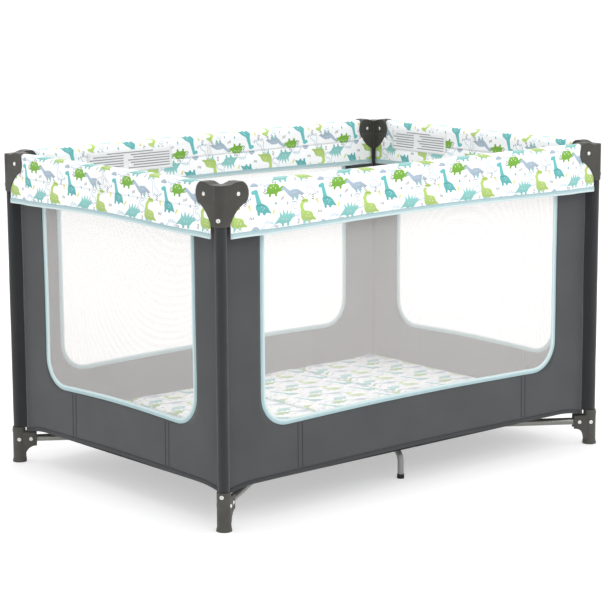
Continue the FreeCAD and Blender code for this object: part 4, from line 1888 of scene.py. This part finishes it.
    def press_mark(self, side: Side) -> bpy.types.Object:
        """Makes the stitched ring that shows where to press the latch.

        Args:
            side: the side.

        Returns:
            The finished object.
        """
        rows, uvs = [], []
        for radius in (0.0150, 0.0158, 0.0172, 0.0180):
            row, texture = [], []
            for i in range(40):
                turn = 2 * math.pi * i / 40
                s, z = radius * math.cos(turn), self.mark_z + radius * math.sin(turn)
                proud = 0.0009 if 0.0152 < radius < 0.0178 else 0.0001
                if z >= self.split_z:
                    off = self.half_width(side, s) + 0.0004
                else:
                    off = self.skirt_offset(side, s, z, False) + self.cloth / 2
                row.append(side.at(s, off + proud, z))
                texture.append((s, z))
            rows.append(row)
            uvs.append(texture)
        obj = grid_mesh("press_ring_" + side.name, rows, uvs, wrap=True)
        thicken(obj, 0.0006, 0.0)
        return dress(face_out(obj), LABEL)

    def build(self) -> None:
        """Builds all four covers."""
        for side in SIDES:
            trim = []
            for inner in (False, True):
                skirt = self.with_side(self.skirt(side, inner), side)
                tape_piece = self.with_side(self.binding(side, inner), side)
                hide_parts(*(f"wall_fabric_{c}" for c in (side.start_post,
                                                                  side.end_post)))
                trim.append(skirt)
            sewn = Repeats.stitches("cover_stitches_" + side.name, self.stitch_runs(side), THREAD)
            self.with_side(sewn, side)
            for end in (-1, 1):
                sleeve = self.sleeve(side, end)
                rail = f"{side.rail}_{side.post_at(end)}"
                pin = side.latch_half()
                start = side.at(end * (pin + self.latch_reach), 0, PLACES.rail_z)
                stop = side.at(end * (pin - self.latch_reach), 0, PLACES.rail_z)
                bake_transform(sleeve)
                around = self.developed(1) - self.developed(-1)
                self.report(sleeve)
            ring = self.press_mark(side)
            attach(ring, "latch_outer_" + side.name)
            self.report(ring)


@dataclass
class Labels(Assembly):
    """Two blank care labels sewn inside two covers, with faint ruled lines.

    Attributes:
        low: height of a label's lower edge.
        high: height of its upper edge.
        lines: number of ruled lines.
        line_gap: distance between them.
        places: side, start and end of each label along the side.
    """

    low: float = 0.586
    high: float = 0.6325
    lines: int = 7
    line_gap: float = 0.0055
    places: tuple = (("back", 0.105, 0.325), ("right", 0.085, 0.262))
    title: str = "labels"

    def surface(self, side: Side, s: float, z: float, proud: float) -> Vector:
        """Point on the inside of a cover, set proud of its cloth.

        Args:
            side: the side.
            s: place along the side, from its middle.
            z: height.
            proud: distance off the cloth.

        Returns:
            The point.
        """
        covers = RailCovers()
        off = covers.half_width(side, s) + 0.0008
        if z < covers.split_z + 0.004:
            lower = min(z, covers.split_z)
            off = max(off, 0.0010 - covers.skirt_offset(side, s, lower, True))
        return side.at(s, -off - proud, z)

    def bars(self, side: Side, first: float, last: float) -> list[bpy.types.Object]:
        """Makes a label's ruled lines, in two columns under a heading.

        Args:
            side: the side.
            first: where the label starts along the side.
            last: where it ends.

        Returns:
            The lines' objects.
        """
        middle = first + (last - first) * 0.56
        parts = []
        for number in range(self.lines):
            z = self.high - 0.0065 - self.line_gap * number
            columns = [(first + 0.05, last - 0.05)] if number == 0 else [
                (first + 0.006, middle - 0.008 - 0.007 * (number % 3)),
                (middle + 0.004, last - 0.006 - 0.009 * (number % 2))]
            for start, stop in columns:
                path = [self.surface(side, start + (stop - start) * i / 10, z, 0.0007)
                        for i in range(11)]
                parts.append(tape("bar", path, upward,
                                  lambda i: side.out, 0.0022, 0.0004))
        return parts

    def build(self) -> None:
        """Builds a label inside the back cover and one inside the right cover."""
        for name, first, last in self.places:
            side = next(one for one in SIDES if one.name == name)
            rows, uvs = [], []
            for k in range(11):
                z = self.low + (self.high - self.low) * k / 10
                row = [first + (last - first) * i / 24 for i in range(25)]
                rows.append([self.surface(side, s, z, 0.0003) for s in row])
                uvs.append([(s, z) for s in row])
            patch = grid_mesh("label_" + side.name, rows, uvs)
            thicken(patch, 0.0006, 0.0)
            dress(face_out(patch), LABEL)
            lines = dress(join("label_lines_" + side.name, self.bars(side, first, last)),
                          GREY_PRINT)
            for piece in (patch, lines):
                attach(piece, f"{side.rail}_{side.end_post}")
                self.report(piece)


@dataclass
class PostSleeves(Assembly):
    """Dark cloth sleeves round the posts, drawn to a point towards the inside.

    Attributes:
        radius: sleeve radius on the outside.
        point: how far the sleeve's point lies from the post axis, along the inner diagonal.
        cloth: thickness of the cloth.
    """

    radius: float = 0.0112
    point: float = 0.0235
    cloth: float = 0.0014
    title: str = "post sleeves"

    def outline(self, corner: str) -> list[Pair]:
        """Teardrop outline about the post axis, as (x, y).

        Args:
            corner: the corner.

        Returns:
            Points as (x, y).
        """
        sign_x, sign_y = CORNERS[corner]
        inward = math.atan2(-sign_y, -sign_x)
        touch = math.acos(self.radius / self.point)
        points = []
        for i in range(29):
            turn = inward + touch + (2 * math.pi - 2 * touch) * i / 28
            points.append((self.radius * math.cos(turn), self.radius * math.sin(turn)))
        tip = (self.point * math.cos(inward), self.point * math.sin(inward))
        last, first = points[-1], points[0]
        for start, stop in ((last, tip), (tip, first)):
            points += [(start[0] + (stop[0] - start[0]) * i / 5,
                        start[1] + (stop[1] - start[1]) * i / 5) for i in range(1, 6)]
        return points[:-1]

    def sleeve(self, corner: str) -> bpy.types.Object:
        """Makes one sleeve.

        Args:
            corner: the corner.

        Returns:
            The finished object.
        """
        axis, sign_x = PLACES.post_foot(corner), CORNERS[corner][0]
        outline = self.outline(corner)
        low = PLACES.foot_top_z - 0.0015
        high = PLACES.bracket_low_z + 0.010
        rows, uvs = [], []
        steps = 60
        for k in range(steps + 1):
            z = low + (high - low) * k / steps
            row = []
            for x, y in outline:
                swell = 1 + 0.03 * sway(Vector((x * 6, y * 6, z)), 0.05, 2.0 + sign_x)
                row.append(axis + Vector((x * swell, y * swell, z)))
            rows.append(row)
            uvs.append([(0.0025 * i, z) for i in range(len(outline))])
        obj = grid_mesh("post_sleeve_" + corner, rows, uvs, wrap=True)
        face_out(obj)
        thicken(obj, self.cloth, -1.0)
        return dress(face_out(obj), SLEEVE)

    def build(self) -> None:
        """Builds the four sleeves."""
        for corner in CORNERS:
            sleeve = self.sleeve(corner)
            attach(sleeve, "post_" + corner)
            outline = self.outline(corner)
            around = sum(math.dist(a, b) for a, b in zip(outline, outline[1:] + outline[:1]))
            self.report(sleeve)


@dataclass
class Corners(Assembly):
    """Moulded brackets and feet with softened edges, and their rivets.

    Attributes:
        voxel: grain of the softened mesh.
        passes: smoothing passes.
        kept_faces: share of its faces that a softened piece keeps.
        rail_face: from the wing's middle to the seat of a rail rivet.
        ear_face: from a foot ear's middle to the seat of its rivet.
        post_face: from the post axis to the seat of a hollow rivet.
        ear_reach: from the post axis to the ear's pin.
        bracket_rivet_z: height of the rivet under the bracket's wings.
        foot_rivet_z: height of the rivet at the foot's top.
        outer_web: outline of the web outside a wing, as distance from the post and height.
        inner_web: the same for the web inside a wing.
        outer_span: how far the outer web starts and ends from the wing's middle.
        inner_span: the same for the inner web.
    """

    voxel: float = 0.0009
    passes: int = 5
    kept_faces: float = 0.42
    rail_face: float = 0.0129
    ear_face: float = 0.0112
    post_face: float = 0.0135
    ear_reach: float = 0.024
    bracket_rivet_z: float = 0.582
    foot_rivet_z: float = 0.067
    outer_span: Pair = (0.0100, 0.0136)
    inner_span: Pair = (-0.0100, -0.0152)
    outer_web: tuple = ((0.0, 0.612), (0.051, 0.613), (0.044, 0.6085), (0.036, 0.6035),
                        (0.028, 0.5965), (0.021, 0.588), (0.0155, 0.579), (0.011, 0.5705),
                        (0.0, 0.5705))
    inner_web: tuple = ((0.0145, 0.616), (0.0535, 0.617), (0.0505, 0.608), (0.0455, 0.600),
                        (0.038, 0.592), (0.029, 0.5855), (0.0145, 0.5785))
    title: str = "corners"

    def web(self, corner: str, along: Vector, out: Vector, inner: bool) -> bpy.types.Object:
        """Makes the sloping web under one wing of a bracket.

        Args:
            corner: the corner.
            along: unit vector from the post along the wing.
            out: unit vector out of the yard.
            inner: True for the web on the inside of the wing.

        Returns:
            A closed plate.
        """
        axis = PLACES.post_foot(corner)
        outline = self.inner_web if inner else self.outer_web
        near_off, far_off = self.inner_span if inner else self.outer_span
        work = bmesh.new()
        near, far = [], []
        for s, z in outline:
            place = axis + along * s + Vector((0, 0, z))
            near.append(work.verts.new(place + out * near_off))
            far.append(work.verts.new(place + out * far_off))
        work.faces.new(near)
        work.faces.new(far[::-1])
        for i in range(len(outline)):
            j = (i + 1) % len(outline)
            work.faces.new((near[i], far[i], far[j], near[j]))
        bmesh.ops.recalc_face_normals(work, faces=work.faces)
        mesh = bpy.data.meshes.new("web")
        work.to_mesh(mesh)
        work.free()
        return new_object("web", mesh)

    def soften(self, node: str, name: str, finish: Finish,
               webs: Sequence[bpy.types.Object] = ()) -> bpy.types.Object:
        """Copies a CAD moulding with rounded edges.

        Args:
            node: the CAD node.
            name: the new piece's name.
            finish: its finish.
            webs: closed plates that melt into it.

        Returns:
            The new piece.
        """
        obj = new_object(name, frame["nodes"][node].data.copy())
        face_out(obj)
        if webs:
            obj = join(name, [obj, *webs])
        skin_over(obj, self.voxel, self.passes)
        fewer = obj.modifiers.new("fewer", "DECIMATE")
        fewer.ratio = self.kept_faces
        apply_modifiers(obj)
        return dress(obj, finish)

    def head(self) -> bpy.types.Object:
        """Makes the domed head of a solid rivet.

        Returns:
            The finished object.
        """
        return lathe("rivet_head", [(0, 0.0019), (0.0012, 0.00188), (0.0026, 0.0016),
                                    (0.0036, 0.0011), (0.0042, 0.0004), (0.0043, -0.0004),
                                    (0, -0.0004)])

    def hollow_head(self) -> bpy.types.Object:
        """Makes the rolled head of a hollow rivet.

        Returns:
            The finished object.
        """
        return lathe("hollow_rivet_head",
                     [(0, -0.0002), (0.0014, -0.0001), (0.0015, 0.0009), (0.0019, 0.0015),
                      (0.0027, 0.0018), (0.0036, 0.0014), (0.0042, 0.0006),
                      (0.0043, -0.0005), (0, -0.0005)])

    def build(self) -> None:
        """Builds the four corners."""
        solid, hollow = self.head(), self.hollow_head()
        for corner in CORNERS:
            webs = [self.web(corner, -along, out, inner) for inner in (False, True)
                    for along, out in self.wings(corner)]
            bracket = self.soften("top_bracket_" + corner, "bracket_" + corner, BRACKET, webs)
            foot = self.soften("foot_" + corner, "moulded_foot_" + corner, FOOT)
            for piece, node in ((bracket, "top_bracket_"), (foot, "foot_")):
                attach(piece, "post_" + corner)
                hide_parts(node + corner)
                self.report(piece)
            self.rivets(corner, solid, hollow)
        for obj in (solid, hollow):
            bpy.data.objects.remove(obj)

    @staticmethod
    def wings(corner: str) -> tuple[tuple[Vector, Vector], tuple[Vector, Vector]]:
        """Directions of a bracket's two wings.

        Args:
            corner: the corner.

        Returns:
            For each wing, the outward direction along it and the one across it.
        """
        sign_x, sign_y = CORNERS[corner]
        out_x, out_y = Vector((sign_x, 0, 0)), Vector((0, sign_y, 0))
        return (out_x, out_y), (out_y, out_x)

    def rivets(self, corner: str, solid: bpy.types.Object, hollow: bpy.types.Object) -> None:
        """Sets one corner's rivets, solid ones at the rails and hollow ones elsewhere.

        Args:
            corner: the corner.
            solid: head of a solid rivet.
            hollow: head of a hollow rivet.
        """
        axis = PLACES.post_foot(corner)
        rail_pin = Vector(joint_named("long_rail_drop_" + corner)["pos_m"])
        inset = abs(rail_pin.x - axis.x)
        seat_z = Vector((0, 0, PLACES.rail_z))
        ends = []
        for along, out in self.wings(corner):
            centre = axis - along * inset + seat_z
            ends += [(centre + out * self.rail_face, out), (centre - out * self.rail_face, -out)]
        rails = Repeats.heads("rail_rivets_" + corner, ends, solid, RIVET)
        outward = axis.normalized()
        across = outward.cross(Vector((0, 0, 1)))
        post_pin = axis + Vector((0, 0, Vector(joint_named("hub_level")["pos_m"]).z))
        ear_pin = post_pin - outward * self.ear_reach
        spots = [(pin + way * face, way)
                 for pin, face in ((ear_pin, self.ear_face), (post_pin, self.post_face))
                 for way in (across, -across)]
        spots += [(axis + outward * self.post_face + Vector((0, 0, z)), outward)
                  for z in (self.bracket_rivet_z, self.foot_rivet_z)]
        others = Repeats.heads("hollow_rivets_" + corner, spots, hollow, RIVET)
        for piece in (rails, others):
            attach(piece, "post_" + corner)
            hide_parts("corner_rivets_" + corner)
            self.report(piece)


@dataclass
class Mattress(Assembly):
    """Four padded boards in printed covers, hinged to each other.

    Attributes:
        voxel: grain of the cloth mesh.
        pressure: pressure of the padding.
        reach: how far a point of the cover may swell.
        start: how much smaller than the board the cover starts.
        frames: length of the simulation.
        end_round: corner radius at the mattress's ends.
        fold_round: corner radius at its folds.
        edge_inset: how far the tape's path lies inside the board's box.
        tape_width: width of the tape round the edge.
    """

    voxel: float = 0.006
    pressure: float = 3.0
    reach: float = 0.0035
    start: float = 0.0022
    frames: int = 20
    end_round: float = 0.020
    fold_round: float = 0.004
    edge_inset: float = 0.0012
    tape_width: float = 0.010
    title: str = "mattress"

    def swell(self, obj: bpy.types.Object) -> None:
        """Fills a cover by cloth simulation, as far as reach allows.

        Args:
            obj: the cover.
        """
        cloth = obj.modifiers.new("padding", "CLOTH")
        cloth.settings.use_pressure = True
        cloth.settings.uniform_pressure_force = self.pressure
        cloth.settings.effector_weights.gravity = 0
        cloth.settings.quality = 5
        cloth.settings.tension_stiffness = 20
        cloth.settings.compression_stiffness = 20
        cloth.settings.bending_stiffness = 2.0
        scene = bpy.context.scene
        for number in range(1, self.frames + 1):
            scene.frame_set(number)
        graph = bpy.context.evaluated_depsgraph_get()
        done = obj.evaluated_get(graph).data
        rest = np.array([v.co for v in obj.data.vertices])
        moved = np.array([v.co for v in done.vertices])
        step = moved - rest
        size = np.linalg.norm(step, axis=1, keepdims=True)
        step *= np.minimum(1.0, self.reach / np.maximum(size, 1e-9))
        obj.modifiers.clear()
        obj.data.vertices.foreach_set("co", (rest + step).ravel())
        obj.data.update()
        scene.frame_set(1)

    def board(self, number: int) -> bpy.types.Object:
        """Makes one padded board inside its CAD solid's space.

        Args:
            number: the board's number.

        Returns:
            The finished object.
        """
        node = f"mattress_board_{number}"
        low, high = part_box(node)
        obj = new_object(f"mattress_pad_{number}", frame["nodes"][node].data.copy())
        face_out(obj)
        centre, size = (low + high) / 2, high - low
        shrink = [1 - 2 * self.start / s for s in size]
        for v in obj.data.vertices:
            v.co = centre + Vector(a * b for a, b in zip(v.co - centre, shrink))
        skin_over(obj, self.voxel, 2)
        apply_modifiers(obj)
        self.swell(obj)
        subdivide(obj)
        self.keep_inside(obj, low, high)
        self.map_cover(obj)
        return dress(obj, PRINT)

    @staticmethod
    def keep_inside(obj: bpy.types.Object, low: Vector, high: Vector) -> None:
        """Holds the cover inside the board's own space."""
        for v in obj.data.vertices:
            v.co = Vector(min(max(c, a), b) for c, a, b in zip(v.co, low, high))

    @staticmethod
    def map_cover(obj: bpy.types.Object) -> None:
        """Lays the print on the cover, in metres, as cut from one flat cloth.

        Args:
            obj: the cover.
        """
        layer = obj.data.uv_layers.new(name=UV_NAME)
        for face in obj.data.polygons:
            axis = max(range(3), key=lambda i: abs(face.normal[i]))
            for index in face.loop_indices:
                p = obj.data.vertices[obj.data.loops[index].vertex_index].co
                flat = ((p.y, p.z + p.x), (p.x, p.z + p.y), (p.x, p.y))[axis]
                layer.data[index].uv = flat

    def piping(self, number: int) -> bpy.types.Object:
        """Makes the aqua tape round a board's edge.

        Args:
            number: the board's number.

        Returns:
            The finished object.
        """
        low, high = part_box(f"mattress_board_{number}")
        start_z = (low.z + high.z) / 2 - self.tape_width / 2
        end_sign = {1: -1, 4: 1}.get(number, 0)
        path, outs = [], []
        for sign_x, sign_y, begin in ((-1, -1, 180), (1, -1, 270), (1, 1, 0), (-1, 1, 90)):
            radius = self.end_round if sign_x == end_sign else self.fold_round
            inset = self.edge_inset + radius
            middle = Vector(((high if sign_x > 0 else low).x - sign_x * inset,
                             (high if sign_y > 0 else low).y - sign_y * inset, start_z))
            for i in range(7):
                turn = math.radians(begin + 15 * i)
                out = Vector((math.cos(turn), math.sin(turn), 0))
                path.append(middle + out * radius)
                outs.append(out)
        path, outs = self.dense(path, outs)
        obj = tape(f"mattress_tape_{number}", path, upward,
                   lambda i: outs[i], self.tape_width, 0.0022, closed=True)
        return dress(obj, BINDING)

    @staticmethod
    def dense(path: list[Vector], outs: list[Vector]) -> tuple[list[Vector], list[Vector]]:
        """Adds points on the long straight stretches of a closed path.

        Args:
            path: points of the path.
            outs: outward direction at each point.

        Returns:
            The path and its directions with the added points.
        """
        new_path, new_outs = [], []
        for i, point in enumerate(path):
            follow = path[(i + 1) % len(path)]
            pieces = max(1, int((follow - point).length / 0.02))
            for k in range(pieces):
                share = k / pieces
                new_path.append(point.lerp(follow, share))
                new_outs.append(outs[i].lerp(outs[(i + 1) % len(outs)], share).normalized())
        return new_path, new_outs

    def build(self) -> None:
        """Builds the four boards."""
        for number in range(1, 5):
            pad = self.board(number)
            edge = self.piping(number)
            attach(pad, f"mattress_{number}")
            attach(edge, f"mattress_{number}")
            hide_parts(f"mattress_board_{number}")
            self.report(pad)
            self.report(edge)


@dataclass
class FloorCloth(Assembly):
    """The sewn floor under the mattress, in four quarters that fold with the tubes.

    Attributes:
        sag: how far the cloth hangs between hub and hem.
        keep: not used.
        cloth: thickness of the cloth.
        under: how far its middle lies under the CAD panel's top.
        corner_cut: share by which the outer corner is pulled in.
        corner_reach: how far from the corner that starts.
    """

    sag: float = 0.0022
    keep: float = 0.03
    cloth: float = 0.0014
    under: float = 0.0009
    corner_cut: float = 0.030
    corner_reach: float = 0.05
    title: str = "floor cloth"

    def quarter(self, corner: str) -> bpy.types.Object:
        """Makes one quarter.

        Args:
            corner: the corner.

        Returns:
            The finished object.
        """
        sign_x, sign_y = CORNERS[corner]
        rows, uvs = [], []
        steps = 24
        top = PLACES.floor_top_z - self.under
        for i in range(steps + 1):
            row = []
            for j in range(steps + 1):
                x = sign_x * PLACES.floor_x * i / steps
                y = sign_y * PLACES.floor_y * j / steps
                cut = self.trim(abs(x), abs(y))
                row.append(Vector((x * cut, y * cut, top - self.drop(x, y))))
            rows.append(row)
            uvs.append([(p.x, p.y) for p in row])
        obj = grid_mesh("floor_cloth_" + corner, rows, uvs)
        thicken(obj, self.cloth)
        return dress(face_out(obj), FLOOR)

    def trim(self, x: float, y: float) -> float:
        """Pulls the cloth's outer corner in, clear of the post."""
        corner = (PLACES.floor_x - x) + (PLACES.floor_y - y)
        return 1 - self.corner_cut * max(0.0, 1 - corner / self.corner_reach)

    def drop(self, x: float, y: float) -> float:
        """Sag of the cloth at a place: none over the hub and at the edges."""
        out = max(abs(x) / PLACES.floor_x, abs(y) / PLACES.floor_y)
        return self.sag * math.sin(math.pi * out) * (0.5 + 0.5 * out)

    def build(self) -> None:
        """Builds the four quarters."""
        for corner in CORNERS:
            cloth = self.quarter(corner)
            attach(cloth, "diagonal_" + corner)
            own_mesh(cloth)
            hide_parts("floor_panel")
            self.report(cloth)


@dataclass
class ButtonSprings(Assembly):
    """The coil springs behind the four release buttons.

    Attributes:
        turns: number of turns.
        wire: wire thickness.
        travel: how far a button goes in; not used.
        steps: points in one turn.
    """

    turns: int = 5
    wire: float = 0.0009
    travel: float = 0.004
    steps: int = 24
    title: str = "button springs"

    def coil(self, side: Side) -> tuple[bpy.types.Object, Vector, float]:
        """Makes one spring.

        Args:
            side: its side.

        Returns:
            The spring, the middle of its inner end, and its length.
        """
        low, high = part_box("button_spring_" + side.name)
        centre, size = (low + high) / 2, high - low
        length = abs(size.dot(side.out))
        radius = size.z / 2 - self.wire / 2
        inner = centre - side.out * (length / 2)
        last, around = self.steps * self.turns, 8
        rows, uvs = [], []
        for i in range(last + 1):
            turn = 2 * math.pi * i / self.steps
            rise = self.wire / 2 + (length - self.wire) * i / last
            ray = side.run * math.cos(turn) + Vector((0, 0, math.sin(turn)))
            row = []
            for k in range(around):
                bend = 2 * math.pi * k / around
                row.append(inner + side.out * (rise + self.wire / 2 * math.sin(bend))
                           + ray * (radius + self.wire / 2 * math.cos(bend)))
            rows.append(row)
            uvs.append([(radius * turn, self.wire * k) for k in range(around)])
        obj = grid_mesh("coil_spring_" + side.name, rows, uvs, wrap=True)
        cap_ends(obj, around)
        return dress(face_out(obj), SPRING), inner, length

    def build(self) -> None:
        """Builds the four springs."""
        for side in SIDES:
            spring, inner, length = self.coil(side)
            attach(spring, "latch_outer_" + side.name)
            tuple(side.out)
            tuple(inner)
            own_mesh(spring)
            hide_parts("button_spring_" + side.name)
            self.report(spring)


class CarriedOver(Assembly):
    """CAD nodes that keep their shape and get their finish here."""

    title = "carried over"
    finishes: tuple[tuple[str, Finish], ...] = (
        ("post_tube_", HIDDEN_TUBE), ("long_rail_", HIDDEN_TUBE), ("short_rail_", HIDDEN_TUBE),
        ("diagonal_tube_", DIAGONAL_TUBE), ("centre_leg_cap_", RUBBER),
        ("centre_leg_", LEG_TUBE), ("hub_body", HUB), ("hub_pins", RIVET),
        ("pull_strap", STRAP), ("latch_", HUB), ("release_button_", BUTTON),
    )
    sharp_angle: float = math.radians(32)

    def build(self) -> None:
        """Gives each shown CAD node its finish."""
        for node, obj in sorted(frame["nodes"].items()):
            for start, finish in self.finishes:
                if node.startswith(start):
                    dress(obj, finish, smooth=False)
                    obj.data.set_sharp_from_angle(angle=self.sharp_angle)
                    self.report(obj)
                    break


# ---------------------------------------------------------------------------
# Stage
# ---------------------------------------------------------------------------
class Light(Enum):
    """The studio's area lights: place, aim, size in metres and power in watts."""

    KEY = ((-1.0, -4.6, 3.6), (0, 0, 0.3), 2.6, 42.0)
    FILL = ((3.4, -2.6, 2.4), (0, 0, 0.3), 3.0, 14.0)
    TOP = ((0.3, 0.6, 4.2), (0, 0, 0.2), 3.4, 40.0)
    BACK = ((1.8, 3.8, 2.6), (0, 0, 0.4), 2.4, 14.0)


@dataclass
class Studio:
    """White floor, soft light and the camera.

    Attributes:
        camera_at: the camera's place.
        azimuth: its direction, in degrees from +Y.
        elevation: how far it looks down, in degrees.
        roll: its roll in degrees.
        lens: focal length in millimetres on a 36 mm sensor.
        floor_half: half the length of the floor's sides.
        floor_tone: its grey.
        floor_glow: how much light it gives off.
    """

    camera_at: tuple[float, float, float] = (-2.896, -3.384, 1.146)
    azimuth: float = -40.51
    elevation: float = 10.58
    roll: float = -0.3
    lens: float = 127.3
    floor_half: float = 30
    floor_tone: float = 0.64
    floor_glow: float = 0.45

    def camera(self) -> None:
        """Sets up the camera."""
        data = bpy.data.cameras.new("camera")
        data.lens = self.lens
        data.sensor_width = 36
        data.clip_end = 60
        obj = bpy.data.objects.new("camera", data)
        bpy.context.scene.collection.objects.link(obj)
        turn = (Matrix.Rotation(math.radians(self.azimuth), 4, "Z")
                @ Matrix.Rotation(math.radians(90 - self.elevation), 4, "X")
                @ Matrix.Rotation(math.radians(self.roll), 4, "Z"))
        obj.matrix_world = Matrix.Translation(self.camera_at) @ turn
        bpy.context.scene.camera = obj

    def floor(self) -> None:
        """Lays the floor."""
        mesh = bpy.data.meshes.new("studio_floor")
        half = self.floor_half
        mesh.from_pydata([(-half, -half, 0), (half, -half, 0), (half, half, 0),
                          (-half, half, 0)], [], [(0, 1, 2, 3)])
        obj = new_object("studio_floor", mesh)
        material = bpy.data.materials.new("studio_floor")
        material.use_nodes = True
        shader = material.node_tree.nodes["Principled BSDF"]
        shader.inputs["Base Color"].default_value = (self.floor_tone,) * 3 + (1,)
        shader.inputs["Roughness"].default_value = 0.9
        shader.inputs["Specular IOR Level"].default_value = 0.1
        shader.inputs["Emission Color"].default_value = (1, 1, 1, 1)
        shader.inputs["Emission Strength"].default_value = self.floor_glow
        mesh.materials.append(material)

    def lights(self) -> None:
        """Hangs the lights and sets the pale surroundings."""
        for light in Light:
            place, aim, size, power = light.value
            data = bpy.data.lights.new(light.name.lower(), "AREA")
            data.energy = power
            data.shape = "DISK"
            data.size = size
            obj = bpy.data.objects.new(light.name.lower(), data)
            bpy.context.scene.collection.objects.link(obj)
            direction = Vector(aim) - Vector(place)
            obj.matrix_world = (Matrix.Translation(place)
                                @ direction.to_track_quat("-Z", "Y").to_matrix().to_4x4())
        world = bpy.data.worlds.new("studio")
        world.use_nodes = True
        sky = world.node_tree.nodes["Background"]
        sky.inputs[0].default_value = (1, 1, 1, 1)
        sky.inputs[1].default_value = 1.0
        bpy.context.scene.world = world
        bpy.context.scene.view_settings.view_transform = "Standard"

    def build(self) -> None:
        """Builds the stage."""
        self.camera()
        self.floor()
        self.lights()


def main() -> None:
    """Builds the whole yard round the frame."""
    logging.basicConfig(level=logging.INFO, format="%(message)s")
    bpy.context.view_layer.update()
    Studio().build()
    for assembly in (CarriedOver(), Walls(), RailCovers(), Labels(), PostSleeves(), Corners(),
                     Mattress(), FloorCloth(), ButtonSprings()):
        assembly.build()


if __name__ == "__main__":
    main()
